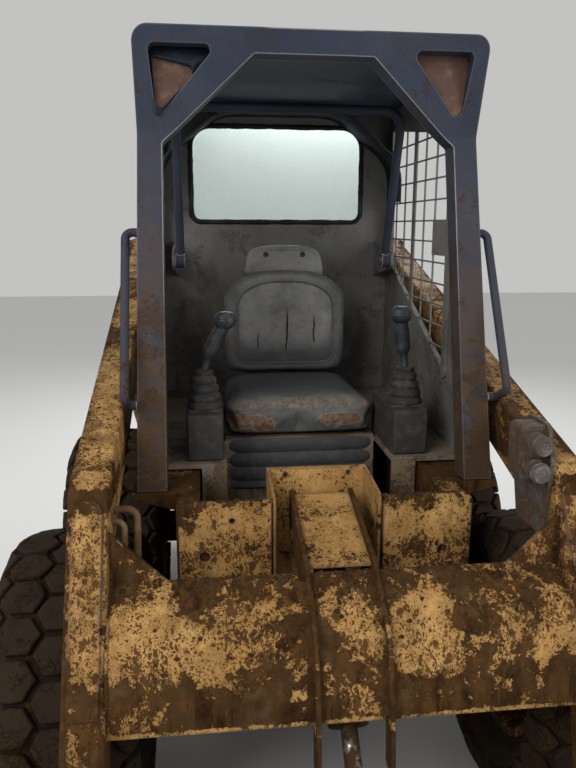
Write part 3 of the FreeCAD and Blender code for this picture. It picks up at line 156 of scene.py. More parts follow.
class Board:
    """A node tree with short ways to add the nodes that the finishes need."""

    def __init__(self, tree):
        self.tree = tree

    def add(self, kind, inputs=(), **settings):
        """Adds a node, sets its properties and fills inputs by name or number with values or sockets."""
        made = self.tree.nodes.new(kind)
        for key, value in settings.items():
            setattr(made, key, value)
        for key, value in dict(inputs).items():
            if isinstance(value, bpy.types.NodeSocket):
                self.tree.links.new(value, made.inputs[key])
            else:
                made.inputs[key].default_value = value
        return made

    def noise(self, where, scale, detail=5.0, roughness=0.6, distortion=0.0):
        made = self.add("ShaderNodeTexNoise", {"Vector": where, "Scale": scale, "Detail": detail,
                                               "Roughness": roughness, "Distortion": distortion})
        return made.outputs["Fac"]

    def step(self, value, low, high):
        """A smooth step from 0 at low to 1 at high."""
        made = self.add("ShaderNodeMapRange", {"Value": value, "From Min": low, "From Max": high},
                        interpolation_type="SMOOTHSTEP")
        return made.outputs["Result"]

    def maths(self, operation, first, second=0.0, third=0.0):
        made = self.add("ShaderNodeMath", {0: first, 1: second, 2: third}, operation=operation)
        return made.outputs[0]

    def times(self, first, second):
        return self.maths("MULTIPLY", first, second)

    def plus(self, first, second):
        return self.maths("ADD", first, second)

    def minus(self, first, second):
        return self.maths("SUBTRACT", first, second)

    def scaled(self, value, factor, shift):
        """The value times the factor, plus the shift."""
        return self.maths("MULTIPLY_ADD", value, factor, shift)

    def mix(self, share, first, second):
        """The first colour where share is 0 and the second where it is 1."""
        first, second = ((*colour, 1) if isinstance(colour, tuple) else colour for colour in (first, second))
        return self.add("ShaderNodeMix", {0: share, 6: first, 7: second}, data_type="RGBA").outputs[2]

    def stretch(self, where, scale):
        """The coordinates, scaled differently along each axis."""
        return self.add("ShaderNodeMapping", {"Vector": where, "Scale": scale}).outputs[0]

    def axes(self, where):
        """The coordinates as three numbers, under X, Y and Z."""
        return self.add("ShaderNodeSeparateXYZ", {0: where}).outputs

    def bevelled(self, radius):
        """The normal that the surface would have with its edges rounded by the radius."""
        return self.add("ShaderNodeBevel", {"Radius": radius}, samples=BEVEL_SAMPLES).outputs[0]


def new_group(name, numbers, outputs):
    """An empty shader group: a Vector input, inputs for numbers with their start values, and
    outputs that are numbers too."""
    tree = bpy.data.node_groups.new(name, "ShaderNodeTree")
    tree.interface.new_socket("Vector", in_out="INPUT", socket_type="NodeSocketVector")
    for label, value in numbers.items():
        tree.interface.new_socket(label, in_out="INPUT", socket_type="NodeSocketFloat").default_value = value
    for label in outputs:
        tree.interface.new_socket(label, in_out="OUTPUT", socket_type="NodeSocketFloat")
    board = Board(tree)
    return tree, board, board.add("NodeGroupInput").outputs


# %% [markdown]
# Dried mud sits in patches with crisp, crumbled rims. Two layers of fractal noise are added, a
# broad one for the patches and a fine one for the crumbs, and a narrow step cuts them into a
# mask. The mask times a lumpy noise is the thickness of the layer. Near is a wide, soft version
# of the mask. It tells where mud came off again, and that is where specks gather.

# %% Dried mud
mud_group, board, given = new_group("dried_mud", {"Scale": 6.0, "Cover": 0.5, "Rim": 0.03},
                                    ["Mask", "Height", "Shade", "Near"])
broad = board.noise(given["Vector"], given["Scale"], 10.0, 0.66, 0.5)
fine = board.noise(given["Vector"], board.times(given["Scale"], 8.0), 7.0, 0.74)
mixed = board.scaled(board.minus(fine, 0.5), 0.50, broad)
level = board.minus(0.66, board.times(given["Cover"], 0.32))
above = board.minus(mixed, level)
mask = board.step(board.maths("DIVIDE", above, given["Rim"]), -0.5, 0.5)
lumps = board.noise(given["Vector"], board.times(given["Scale"], 24.0), 4.0, 0.6)
height = board.times(mask, board.scaled(lumps, 0.5, 0.6))
shade = board.noise(given["Vector"], board.times(given["Scale"], 2.3), 6.0, 0.66)
near = board.step(above, -0.24, 0.02)
board.add("NodeGroupOutput", {"Mask": mask, "Height": height, "Shade": shade, "Near": near})

# %% [markdown]
# Rust starts as specks where grit has gone through the paint. Cells of a Voronoi texture give a
# random size to each speck, and noise bends their outlines so that none is round. Water runs
# down, so the cells are twice as tall as they are wide.

# %% Rust specks
rust_group, board, given = new_group("rust_specks", {"Scale": 90.0, "Amount": 0.4}, ["Mask"])
bend = board.add("ShaderNodeTexNoise", {"Vector": given["Vector"], "Scale": 60.0, "Detail": 3.0})
bent = board.add("ShaderNodeVectorMath", {0: bend.outputs["Color"], 1: (0.5, 0.5, 0.5)}, operation="SUBTRACT")
small = board.add("ShaderNodeVectorMath", {0: bent.outputs[0], "Scale": 0.02}, operation="SCALE")
moved = board.add("ShaderNodeVectorMath", {0: given["Vector"], 1: small.outputs[0]}, operation="ADD")
tall = board.stretch(moved.outputs[0], (1, 1, 0.5))
cells = board.add("ShaderNodeTexVoronoi", {"Vector": tall, "Scale": given["Scale"]})
crowded = board.step(board.noise(given["Vector"], 9.0, 5.0, 0.7), 0.30, 0.70)
size_of_speck = board.times(board.scaled(crowded, 0.6, 0.4), given["Amount"])
speck = board.step(board.minus(size_of_speck, cells.outputs["Distance"]), -0.05, 0.04)
board.add("NodeGroupOutput", {"Mask": speck})

# %% [markdown]
# Paint wears first along edges. The Bevel node gives the normal that a rounded edge would have.
# Where it differs from the real normal there is an edge nearby, and noise breaks the line up.

# %% Worn edges
wear_group, board, given = new_group("worn_edges", {"Width": 0.008, "Amount": 0.5}, ["Mask"])
straight = board.add("ShaderNodeNewGeometry").outputs["Normal"]
alike = board.add("ShaderNodeVectorMath", {0: board.bevelled(given["Width"]), 1: straight},
                  operation="DOT_PRODUCT")
edge = board.minus(1.0, alike.outputs["Value"])
patchy = board.noise(given["Vector"], 26.0, 6.0, 0.7)
level = board.minus(0.75, board.times(given["Amount"], 0.5))
broken = board.step(patchy, level, board.plus(level, 0.1))
worn = board.times(board.step(edge, 0.02, 0.12), broken)
board.add("NodeGroupOutput", {"Mask": worn})

# %% [markdown]
# ## The finishes
# Every finish starts from its own colour and adds the groups over it. Sizes are in metres, so a
# noise scale of 6 gives patches of about 15 cm. All read Object coordinates: each object sits at
# the origin, and so the pattern is fixed to the piece when it moves.

# %% Finish helper


def finish(name, roughness, metallic=0.0, gloss=0.2):
    """A new material: gives it, its board, its shader and the Object coordinates. Gloss is the
    shader's specular level: 0.5 for a clean surface, less under dust."""
    made = bpy.data.materials.new(name)
    made.use_nodes = True
    tree = made.node_tree
    shader = tree.nodes["Principled BSDF"]
    shader.inputs["Roughness"].default_value = roughness
    shader.inputs["Metallic"].default_value = metallic
    shader.inputs["Specular IOR Level"].default_value = gloss
    board = Board(tree)
    where = board.add("ShaderNodeTexCoord").outputs["Object"]
    return made, board, shader, where


def group_in(board, tree, where, **numbers):
    """Places a group in a material and gives its outputs."""
    return board.add("ShaderNodeGroup", {"Vector": where, **numbers}, node_tree=tree).outputs


def feed(board, shader, colour, rough=None, metal=None):
    """Feeds the colour, and what else changes over the surface, to the shader."""
    for key, value in (("Base Color", colour), ("Roughness", rough), ("Metallic", metal)):
        if value is not None:
            board.tree.links.new(value, shader.inputs[key])


def raise_surface(board, shader, height, strength, distance, normal=None):
    """Feeds a height to a Bump node and that to the shader's Normal."""
    inputs = {"Height": height, "Strength": strength, "Distance": distance}
    if normal is not None:
        inputs["Normal"] = normal
    bump = board.add("ShaderNodeBump", inputs)
    board.tree.links.new(bump.outputs[0], shader.inputs["Normal"])


# %% [markdown]
# The loader's paint is a warm cream that has browned. From the bottom up its layers are: cream in
# two tones, brown runs where water came down, a film of grime, rust specks in four sizes, bare
# dark metal along the edges, and mud in three browns. Mud gathers in bands, as along the top of
# the crossmember, so its cover can grow with height; on the arms' legs a lower band of extra mud
# is partly painted shade. The mud is rougher than the paint, and so the roughness follows its mask.

# %% Cream-tan paint
CREAM = (0.36, 0.200, 0.065)
CREAM_PALE = (0.50, 0.300, 0.108)
CREAM_STAINED = (0.195, 0.096, 0.028)
MUD_DARK = (0.022, 0.0095, 0.0025)
MUD_MIDDLE = (0.040, 0.0195, 0.0065)
MUD_LIGHT = (0.078, 0.045, 0.018)
MUD_RED = (0.100, 0.046, 0.015)
RUST = (0.050, 0.018, 0.007)
BARE_EDGE = (0.16, 0.095, 0.055)
SPECKS = ((260.0, 0.84), (120.0, 0.70), (56.0, 0.56), (24.0, 0.42))  # (scale, share of the full amount)


def tan_paint(name, cover, patch_scale=6.0, specks=0.42, stain=0.5, bands=(), plates=None):
    """Cream paint under mud: cover is the share of mud and stain how far the paint has browned.
    A band is (height where it starts, height where it is full, extra cover). Plates is (x, reach,
    extra cover) for mud that gathers along the two upright plates at x and -x."""
    made, board, shader, where = finish(name, 0.55, gloss=0.08)
    paint = board.mix(board.step(board.noise(where, 3.1, 8.0, 0.66), 0.36, 0.64), CREAM, CREAM_PALE)
    streak = board.noise(board.stretch(where, (30, 30, 2.6)), 1.0, 7.0, 0.68)
    paint = board.mix(board.times(board.step(streak, 0.43, 0.68), stain), paint, CREAM_STAINED)
    grime = board.noise(where, 13.0, 9.0, 0.76)
    paint = board.mix(board.times(board.step(grime, 0.46, 0.62), 0.65 * stain), paint, MUD_LIGHT)
    split = board.axes(where)
    share = cover
    for start, full, more in bands:
        share = board.scaled(board.step(split["Z"], start, full), more, share)
    if plates is not None:
        x, reach, more = plates
        away = board.maths("ABSOLUTE", board.minus(board.maths("ABSOLUTE", split["X"]), x))
        share = board.scaled(board.step(away, reach, 0.006), more, share)
    mud = group_in(board, mud_group, where, Scale=patch_scale, Cover=share, Rim=0.03)
    crowd = board.scaled(mud["Near"], 0.30, specks)
    paint = board.mix(board.times(mud["Near"], 0.60), paint, CREAM_STAINED)
    rust = 0.0
    for scale, part in SPECKS:
        some = group_in(board, rust_group, where, Scale=scale, Amount=board.times(crowd, part))["Mask"]
        rust = board.maths("MAXIMUM", rust, some)
    rust_colour = board.mix(board.step(grime, 0.4, 0.6), RUST, MUD_MIDDLE)
    paint = board.mix(board.times(rust, 0.88), paint, rust_colour)
    edge = group_in(board, wear_group, where, Width=0.010, Amount=0.8)["Mask"]
    paint = board.mix(edge, paint, BARE_EDGE)
    brown = board.mix(board.step(mud["Shade"], 0.36, 0.52), MUD_DARK, MUD_MIDDLE)
    brown = board.mix(board.step(mud["Shade"], 0.50, 0.70), brown, MUD_LIGHT)
    thin = board.times(board.step(streak, 0.43, 0.58), board.step(mud["Shade"], 0.60, 0.44))
    brown = board.mix(board.times(thin, 0.62), brown, MUD_RED)
    colour = board.mix(mud["Mask"], paint, brown)
    feed(board, shader, colour, board.scaled(board.maths("MAXIMUM", mud["Mask"], rust), 0.33, 0.55))
    relief = board.scaled(board.noise(where, 320.0, 3.0, 0.6), 0.18, mud["Height"])
    relief = board.minus(relief, board.times(rust, 0.16))
    raise_surface(board, shader, relief, 0.95, 0.0024, board.bevelled(0.004))
    return made


# On the arms the band from 0.84 down to 0.42 adds mud low on the legs: partly real mud, partly painted shade
# that darkens them
paint_arms = tan_paint("paint_arms", cover=0.10, patch_scale=4.2, specks=0.46, stain=1.0,
                       bands=[(0.925, 0.94, 0.48), (0.965, 0.98, -0.44), (0.84, 0.42, 0.55)],
                       plates=(0.578, 0.030, 0.50))
paint_crossmember = tan_paint("paint_crossmember", cover=0.27, patch_scale=6.5, specks=0.41, stain=0.60,
                              bands=[(0.735, 0.775, 0.38), (0.665, 0.615, 0.32), (0.553, 0.546, -0.60),
                                     (0.532, 0.515, 0.80)],
                              plates=(0.075, 0.024, 0.34))
paint_chassis = tan_paint("paint_chassis", cover=0.78, patch_scale=5.0, specks=0.50, stain=0.8)
paint_panels = tan_paint("paint_panels", cover=0.18, patch_scale=9.0, specks=0.39, stain=0.50,
                         bands=[(0.84, 0.885, 0.40), (0.68, 0.55, 0.40)])
paint_cover = tan_paint("paint_cover", cover=0.10, patch_scale=8.0, specks=0.29, stain=0.28)
paint_rear = tan_paint("paint_rear", cover=0.26, patch_scale=3.2, specks=0.42, stain=0.50,
                       bands=[(0.75, 0.40, 0.45)])
paint_rims = tan_paint("paint_rims", cover=0.62, patch_scale=8.0, specks=0.50, stain=0.8)

# %% [markdown]
# The cab's paint is nearly black. Dust dulls it, more of it lower down, so a ramp along Z is mixed
# with noise. Thin scratches come from a strongly stretched noise, and the bare steel that shows
# along the edges of the opening is the lightest line on the whole cab.

# %% Dark cab paint
CAB_GREY = (0.017, 0.026, 0.048)
CAB_GREY_WORN = (0.029, 0.040, 0.065)
CAB_DUST = (0.070, 0.043, 0.024)
CAB_BARE = (0.40, 0.39, 0.37)


def along_opening(board, where):
    """A mask round the cab's opening: 1 inside the posts and below the slanted edge that runs
    through (0.376, 1.717) in x and z, and a fifth elsewhere and at the posts' feet."""
    split = board.axes(where)
    aside = board.maths("ABSOLUTE", split["X"])
    beyond = board.plus(board.scaled(aside, 0.662, -0.249), board.scaled(split["Z"], 0.751, -1.289))
    close = board.times(board.step(beyond, 0.030, 0.012), board.step(aside, 0.405, 0.390))
    close = board.times(close, board.step(split["Z"], 1.20, 1.55))
    return board.scaled(close, 0.80, 0.20)


def cab_paint(name, dust, low, high, bare=0.55, tones=(CAB_GREY, CAB_GREY_WORN), dust_tone=CAB_DUST,
              frame=False, cake=0.85, rusty=0.34):
    """Dark paint. Dust is its share at the height low and fades to a little at the height high.
    Bare, cake and rusty are the shares of bare edges, mud and rust, and on the frame the edges are
    barest round the opening."""
    made, board, shader, where = finish(name, 0.5)
    cloud = board.noise(where, 4.0, 7.0, 0.65)
    paint = board.mix(board.step(cloud, 0.35, 0.7), *tones)
    scratch = board.noise(board.stretch(where, (60, 60, 5)), 1.0, 4.0, 0.7)
    paint = board.mix(board.times(board.step(scratch, 0.62, 0.70), 0.4), paint, dust_tone)
    lower = board.step(board.axes(where)["Z"], high, low)
    speckle = board.noise(where, 18.0, 8.0, 0.74)
    film = board.times(board.scaled(lower, dust, 0.10), board.step(speckle, 0.22, 0.58))
    paint = board.mix(film, paint, dust_tone)
    mud = group_in(board, mud_group, where, Scale=9.0, Cover=board.times(lower, 0.6 * dust), Rim=0.05)
    paint = board.mix(board.times(mud["Mask"], cake), paint, MUD_MIDDLE)
    rust = group_in(board, rust_group, where, Scale=130.0, Amount=rusty)["Mask"]
    paint = board.mix(board.times(rust, 0.7), paint, RUST)
    edge = group_in(board, wear_group, where, Width=0.006, Amount=bare)["Mask"]
    if frame:
        edge = board.times(edge, along_opening(board, where))
    paint = board.mix(board.times(edge, 0.85), paint, CAB_BARE)
    feed(board, shader, paint, board.scaled(film, 0.35, 0.50))
    relief = board.scaled(board.noise(where, 420.0, 2.0, 0.5), 0.10, mud["Height"])
    raise_surface(board, shader, relief, 0.7, 0.0016, board.bevelled(0.003))
    return made


# The inside's greys are the paint's own tone lightened by painted light, standing in for the bright haze in
# the cab; the seat pan takes them too
INSIDE_TONES_AND_PAINTED_HAZE = (0.128, 0.131, 0.133), (0.190, 0.190, 0.184)
INSIDE_DUST, FLOOR_DUST = (0.105, 0.088, 0.066), (0.180, 0.118, 0.062)
ROOF_TONES = (0.040, 0.052, 0.082), (0.052, 0.064, 0.094)
paint_frame = cab_paint("paint_cab_frame", dust=0.95, low=0.90, high=1.92, bare=1.3, frame=True, cake=0.45)
paint_cab_inside = cab_paint("paint_cab_inside", dust=0.60, low=0.95, high=1.90, bare=0.35,
                             tones=INSIDE_TONES_AND_PAINTED_HAZE, dust_tone=INSIDE_DUST, cake=0.25, rusty=0.20)
paint_roof = cab_paint("paint_roof", dust=0.04, low=1.96, high=2.10, bare=0.5, tones=ROOF_TONES)
paint_seat_pan = cab_paint("paint_seat_pan", dust=0.9, low=0.72, high=1.20, bare=0.3,
                           tones=INSIDE_TONES_AND_PAINTED_HAZE, dust_tone=FLOOR_DUST, cake=0.5)
paint_handles = cab_paint("paint_handles", dust=0.5, low=0.95, high=1.6, bare=1.0)
paint_bumper = cab_paint("paint_bumper", dust=0.9, low=0.20, high=0.9, bare=0.7)

# %% [markdown]
# Metal pieces without paint: the cylinder rods are chromed, but dust has settled on their oil,
# steel tubes and couplers go brown, and the engine is a dark oily casting.

# %% Bare metal
ROD_CHROME = (0.30, 0.27, 0.23)


def rod_metal():
    """Dull chrome under an oily film of dust: the film's mask takes the metal's shine away."""
    made, board, shader, where = finish("rod_chrome", 0.3, 1.0)
    haze = board.noise(board.stretch(where, (3, 3, 3)), 9.0, 7.0, 0.66)
    film = board.step(haze, 0.30, 0.50)
    colour = board.mix(film, ROD_CHROME, MUD_MIDDLE)
    feed(board, shader, colour, board.scaled(film, 0.5, 0.26), board.minus(1.0, film))
    raise_surface(board, shader, board.noise(where, 300.0, 3.0), 0.25, 0.0006)
    return made


def aged_steel(name, fresh, rusty, share):
    """Steel that has rusted where a fractal noise is low: brown, dull and rougher there."""
    made, board, shader, where = finish(name, 0.6, 0.6)
    cloud = board.noise(where, 22.0, 9.0, 0.72)
    bright = board.step(cloud, share, share + 0.16)
    colour = board.mix(bright, rusty, fresh)
    mud = group_in(board, mud_group, where, Scale=16.0, Cover=0.30, Rim=0.05)
    colour = board.mix(mud["Mask"], colour, MUD_LIGHT)
    metal = board.times(bright, board.minus(1.0, mud["Mask"]))
    feed(board, shader, colour, board.scaled(cloud, -0.5, 0.95), metal)
    raise_surface(board, shader, board.plus(cloud, mud["Height"]), 0.6, 0.0014)
    return made


chrome = rod_metal()
steel_tubes = aged_steel("steel_tubes", (0.26, 0.18, 0.095), (0.12, 0.066, 0.032), 0.50)
steel_bracket = aged_steel("steel_bracket", (0.20, 0.20, 0.20), (0.075, 0.052, 0.038), 0.48)
steel_bolts = aged_steel("steel_bolts", (0.20, 0.18, 0.16), (0.075, 0.036, 0.019), 0.54)
cast_iron = aged_steel("cast_iron", (0.07, 0.07, 0.07), (0.035, 0.026, 0.02), 0.42)

# %% [markdown]
# Tyre rubber is nearly black, and what the eye sees on it is dust on the blocks and packed mud
# in the grooves. The blocks carry an attribute, block_height, that is 1 on their tops and 0 in
# the grooves, and the mud reads it.

# %% Rubber, plastic and glass
RUBBER = (0.011, 0.009, 0.007)
RUBBER_DUSTY = (0.026, 0.017, 0.010)
GLASS_CLEAN, GLASS_MILKY = (0.82, 0.93, 0.91), (0.65, 0.75, 0.71)


def tyre_rubber():
    made, board, shader, where = finish("tyre_rubber", 0.8, gloss=0.07)
    raised = board.add("ShaderNodeAttribute", attribute_name="block_height").outputs["Fac"]
    film = board.step(board.noise(where, 15.0, 9.0, 0.76), 0.22, 0.56)
    rubber = board.mix(film, RUBBER, RUBBER_DUSTY)
    groove = board.minus(1.0, board.step(raised, 0.1, 0.9))
    packed = board.noise(where, 30.0, 8.0, 0.74)
    mud = board.times(groove, board.step(packed, 0.44, 0.60))
    rubber = board.mix(board.times(groove, 0.8), rubber, RUBBER)
    rubber = board.mix(mud, rubber, MUD_MIDDLE)
    cake = group_in(board, mud_group, where, Scale=12.0, Cover=0.30, Rim=0.05)
    rubber = board.mix(board.times(cake["Mask"], 0.7), rubber, MUD_MIDDLE)
    feed(board, shader, rubber)
    relief = board.scaled(packed, board.scaled(mud, 1.4, 0.35), cake["Height"])
    raise_surface(board, shader, relief, 0.85, 0.0035)
    return made


def worn_plastic(name, dark, pale, roughness):
    made, board, shader, where = finish(name, roughness)
    rub = board.noise(where, 34.0, 7.0, 0.66)
    feed(board, shader, board.mix(board.step(rub, 0.45, 0.75), dark, pale))
    raise_surface(board, shader, board.noise(where, 700.0, 2.0), 0.3, 0.0005)
    return made


def dirty_glass():
    """Glass that dust has turned milky, in upright streaks and small spots."""
    made, board, shader, where = finish("dirty_glass", 0.1)
    shader.inputs["Transmission Weight"].default_value = 0.9
    shader.inputs["IOR"].default_value = 1.45
    dust = board.noise(board.stretch(where, (9, 9, 3)), 1.6, 9.0, 0.72)
    spots = board.noise(where, 190.0, 3.0, 0.7)
    film = board.scaled(board.step(spots, 0.40, 0.66), 0.45, board.times(dust, 0.55))
    colour = board.mix(film, GLASS_CLEAN, GLASS_MILKY)
    feed(board, shader, colour, board.scaled(film, 0.18, 0.34))
    raise_surface(board, shader, spots, 0.25, 0.0004)
    return made


rubber = tyre_rubber()
glass = dirty_glass()
boot_rubber = worn_plastic("boot_rubber", (0.026, 0.025, 0.026), (0.090, 0.066, 0.048), 0.75)
boot_dark = worn_plastic("boot_dark", (0.050, 0.050, 0.052), (0.085, 0.078, 0.068), 0.7)
knob_plastic = worn_plastic("knob_plastic", (0.022, 0.024, 0.028), (0.07, 0.068, 0.066), 0.42)
console_plastic = worn_plastic("console_plastic", (0.034, 0.031, 0.029), (0.074, 0.058, 0.044), 0.7)
gasket_rubber = worn_plastic("gasket_rubber", (0.012, 0.012, 0.013), (0.045, 0.042, 0.040), 0.6)
lining_vinyl = worn_plastic("lining_vinyl", (0.020, 0.026, 0.040), (0.052, 0.058, 0.066), 0.6)
bezel_plastic = worn_plastic("bezel_plastic", (0.010, 0.012, 0.020), (0.028, 0.030, 0.040), 0.4)
lens_brown = worn_plastic("lens_brown", (0.080, 0.043, 0.031), (0.155, 0.095, 0.068), 0.42)
lens_red = worn_plastic("lens_red", (0.13, 0.018, 0.012), (0.26, 0.060, 0.035), 0.30)

# %% [markdown]
# ## Dress the CAD nodes
# The CAD pieces keep their meshes, apart from the seven that later cells replace. Each gets one
# of the finishes by its node's name.

# %% Materials for the CAD nodes
DRESS = {
    paint_arms: ["lift_arm_left", "lift_arm_right", "quick_attach", "lift_barrel_left", "lift_barrel_right",
                 "tilt_barrel"],
    paint_crossmember: ["crossmember"],
    paint_cover: ["tilt_cover", "recess_hood"],
    paint_chassis: ["chassis_tub", "axle_housings"],
    paint_panels: ["front_panels"],
    paint_rear: ["rear_uprights", "rear_door", "engine_cover"],
    paint_rims: ["rim_front_left", "rim_front_right", "rim_rear_left", "rim_rear_right"],
    paint_frame: ["cab_front_frame"],
    paint_cab_inside: ["cab_side_left", "cab_side_right", "cab_rear_wall", "side_screens"],
    paint_roof: ["cab_roof"],
    paint_seat_pan: ["seat_pan"],
    paint_handles: ["grab_handles", "seat_bar"],
    paint_bumper: ["rear_frame"],
    steel_tubes: ["hydraulic_tubes"],
    steel_bracket: ["coupler_bracket"],
    cast_iron: ["engine_block"],
    chrome: ["lift_rod_left", "lift_rod_right", "tilt_rod"],
    glass: ["rear_window"],
    lens_brown: ["corner_lamps"],
    lens_red: ["tail_lamps"],
    rubber: ["tyre_front_left", "tyre_front_right", "tyre_rear_left", "tyre_rear_right"],
    gasket_rubber: ["seat_cushion", "seat_back"],
    console_plastic: ["control_levers"],
}
for material, names in DRESS.items():
    for name in names:
        nodes[name].data.materials.clear()
        nodes[name].data.materials.append(material)
print("dressed:", sum(len(names) for names in DRESS.values()))

# %% [markdown]
# ## Surfaces from numbers
# New pieces are grids of points worked out with numpy. `grid_faces` joins the points of a grid
# with quads, `build` puts one or more such grids into a mesh, closes doubled points at seams and
# poles, and turns the faces outwards.

# %% Grid tools


def grid_faces(rows, columns, wrap_rows=False, wrap_columns=False):
    """Quads between neighbours of a rows by columns grid; a wrapped side is joined to its start."""
    i = np.arange(rows if wrap_rows else rows - 1)
    j = np.arange(columns if wrap_columns else columns - 1)
    i, j = (part.reshape(-1) for part in np.meshgrid(i, j, indexing="ij"))
    ahead, beside = (i + 1) % rows, (j + 1) % columns
    corners = [i * columns + j, i * columns + beside, ahead * columns + beside, ahead * columns + j]
    return np.stack(corners, -1)


def build(name, parts, material, body, smooth=True, recalculate=True):
    """A piece from (points, faces) parts, merged and riding on a CAD body. Its faces are turned
    outwards, apart from an open sheet's, which keep the direction that its rows give them."""
    points, faces, start = [], [], 0
    for some_points, some_faces in parts:
        some_points = np.asarray(some_points, float).reshape(-1, 3)
        points.append(some_points)
        faces.append(np.asarray(some_faces) + start)
        start += len(some_points)
    mesh = bpy.data.meshes.new(name)
    faces_list = [face for some in faces for face in some.tolist()]
    mesh.from_pydata(np.concatenate(points).tolist(), [], faces_list)
    mesh.materials.append(material)
    shape = bmesh.new()
    shape.from_mesh(mesh)
    bmesh.ops.remove_doubles(shape, verts=shape.verts, dist=1e-5)
    if recalculate:
        bmesh.ops.recalc_face_normals(shape, faces=shape.faces)
    shape.to_mesh(mesh)
    shape.free()
    mesh.polygons.foreach_set("use_smooth", np.full(len(mesh.polygons), smooth))
    mesh.update()
    piece = bpy.data.objects.new(name, mesh)
    scene.collection.objects.link(piece)
    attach(piece, body)
    return piece


def lathe(profile, centre, axis=0, turns=96):
    """Turns (along, radius) points once round an axis: x = radius cos, y = radius sin across it."""
    profile = np.asarray(profile, float)
    angle = np.linspace(0, 2 * math.pi, turns, endpoint=False)
    along = np.repeat(profile[:, :1], turns, 1)
    across = [profile[:, 1:] * np.cos(angle), profile[:, 1:] * np.sin(angle)]
    across.insert(axis, along)
    return np.stack(across, -1) + np.asarray(centre), grid_faces(len(profile), turns, wrap_columns=True)


def rounded(points, rounds=2, closed=False):
    """Corner cutting: each round puts points at 1/4 and 3/4 of every run, which softens the corners."""
    points = np.asarray(points, float)
    for _ in range(rounds):
        following = np.roll(points, -1, 0) if closed else points[1:]
        first = points if closed else points[:-1]
        cut = np.stack([0.75 * first + 0.25 * following, 0.25 * first + 0.75 * following], 1)
        cut = cut.reshape(-1, points.shape[1])
        points = cut if closed else np.concatenate([points[:1], cut, points[-1:]])
    return points


def soft_polygon(corners, radius, steps=6, closed=True):
    """Straight runs whose corners are replaced by short curves that start a radius before them."""
    corners = np.asarray(corners, float)
    before, after = np.roll(corners, 1, 0), np.roll(corners, -1, 0)
    t = np.linspace(0, 1, steps)[:, None, None]
    start = corners + (before - corners) / np.linalg.norm(before - corners, axis=1, keepdims=True) * radius
    end = corners + (after - corners) / np.linalg.norm(after - corners, axis=1, keepdims=True) * radius
    curve = (start * (1 - t) ** 2 + corners * 2 * t * (1 - t) + end * t ** 2).transpose(1, 0, 2)
    if closed:
        return curve.reshape(-1, corners.shape[1])
    return np.concatenate([corners[:1], curve[1:-1].reshape(-1, corners.shape[1]), corners[-1:]])


def even_steps(path, count):
    """The same closed path with its points spread evenly along its length."""
    closed = np.concatenate([path, path[:1]])
    run = np.concatenate([[0], np.cumsum(np.linalg.norm(np.diff(closed, axis=0), axis=1))])
    at = np.linspace(0, run[-1], count, endpoint=False)
    return np.stack([np.interp(at, run, closed[:, k]) for k in range(path.shape[1])], -1)


def tube(path, radius, sides=12, closed=False, up=(0, 0, 1)):
    """Circles of the radius across a path. The radius can be one number or one for each point."""
    path = np.asarray(path, float)
    radius = np.broadcast_to(np.asarray(radius, float), (len(path),))
    if closed:
        tangent = np.roll(path, -1, 0) - np.roll(path, 1, 0)
    else:
        tangent = np.gradient(path, axis=0)
        path = np.concatenate([path[:1], path, path[-1:]])
        tangent = np.concatenate([tangent[:1], tangent, tangent[-1:]])
        radius = np.concatenate([[0], radius, [0]])
    tangent = tangent / np.linalg.norm(tangent, axis=1, keepdims=True)
    side = np.cross(tangent, np.asarray(up, float))
    side = side / np.linalg.norm(side, axis=1, keepdims=True)
    top = np.cross(side, tangent)
    angle = np.linspace(0, 2 * math.pi, sides, endpoint=False)
    ring = side[:, None] * np.cos(angle)[None, :, None] + top[:, None] * np.sin(angle)[None, :, None]
    points = path[:, None] + ring * radius[:, None, None]
    return points, grid_faces(len(path), sides, wrap_rows=closed, wrap_columns=True)


# %% [markdown]
# ## Tyres
# The tread is a honeycomb of six-sided blocks that wraps over the shoulders. The carcass is a
# profile turned about the axle. The blocks are one template, a hexagon with a bevelled top,
# copied to every place of the honeycomb as one array: each copy is bent onto the carcass by
# taking its x as the distance along the profile and its y as the distance round the tyre. There
# are hundreds of blocks, so the template has only 36 faces.

# %% Tyre carcass and tread blocks
TYRE_HALF, TREAD_RADIUS, BLOCK_HIGH = 0.1545, 0.3655, 0.0165
BLOCKS_ROUND, BLOCK_COLUMNS, COLUMN_PITCH = 26, 5, 0.083
RING_POINTS, CARCASS_TURNS = 12, 168
BLOCK_ACROSS, BLOCK_ROUND, BLOCK_RAGGED = 0.0505, 0.0462, 0.0017


def tyre_profile():
    """(across, radius) from one bead over the tread to the other, softened by corner cutting."""
    half = [(-0.1065, 0.2125), (-0.112, 0.226), (-0.133, 0.238), (-0.151, 0.272), (-TYRE_HALF, 0.305),
            (-0.148, 0.334), (-0.130, 0.355), (-0.09, 0.3640), (-0.04, TREAD_RADIUS)]
    mirror = [(-x, r) for x, r in reversed(half)]
    return rounded(half + mirror, 3)


def block_template():
    """A six-sided block as rings of 12 points, corners and side middles: foot, shoulder, top edge
    and centre, each with its height."""
    corner = np.radians(np.arange(6) * 60)
    corners = np.stack([np.cos(corner) * BLOCK_ACROSS, np.sin(corner) * BLOCK_ROUND], -1)
    middles = (corners + np.roll(corners, -1, 0)) / 2
    ring = np.stack([corners * 0.965, middles], 1).reshape(-1, 2)
    scales = np.array([1.0, 0.965, 0.89, 0.0])
    heights = np.array([-0.3, 0.80, 1.0, 1.05]) * BLOCK_HIGH
    return ring[None] * scales[:, None, None], heights


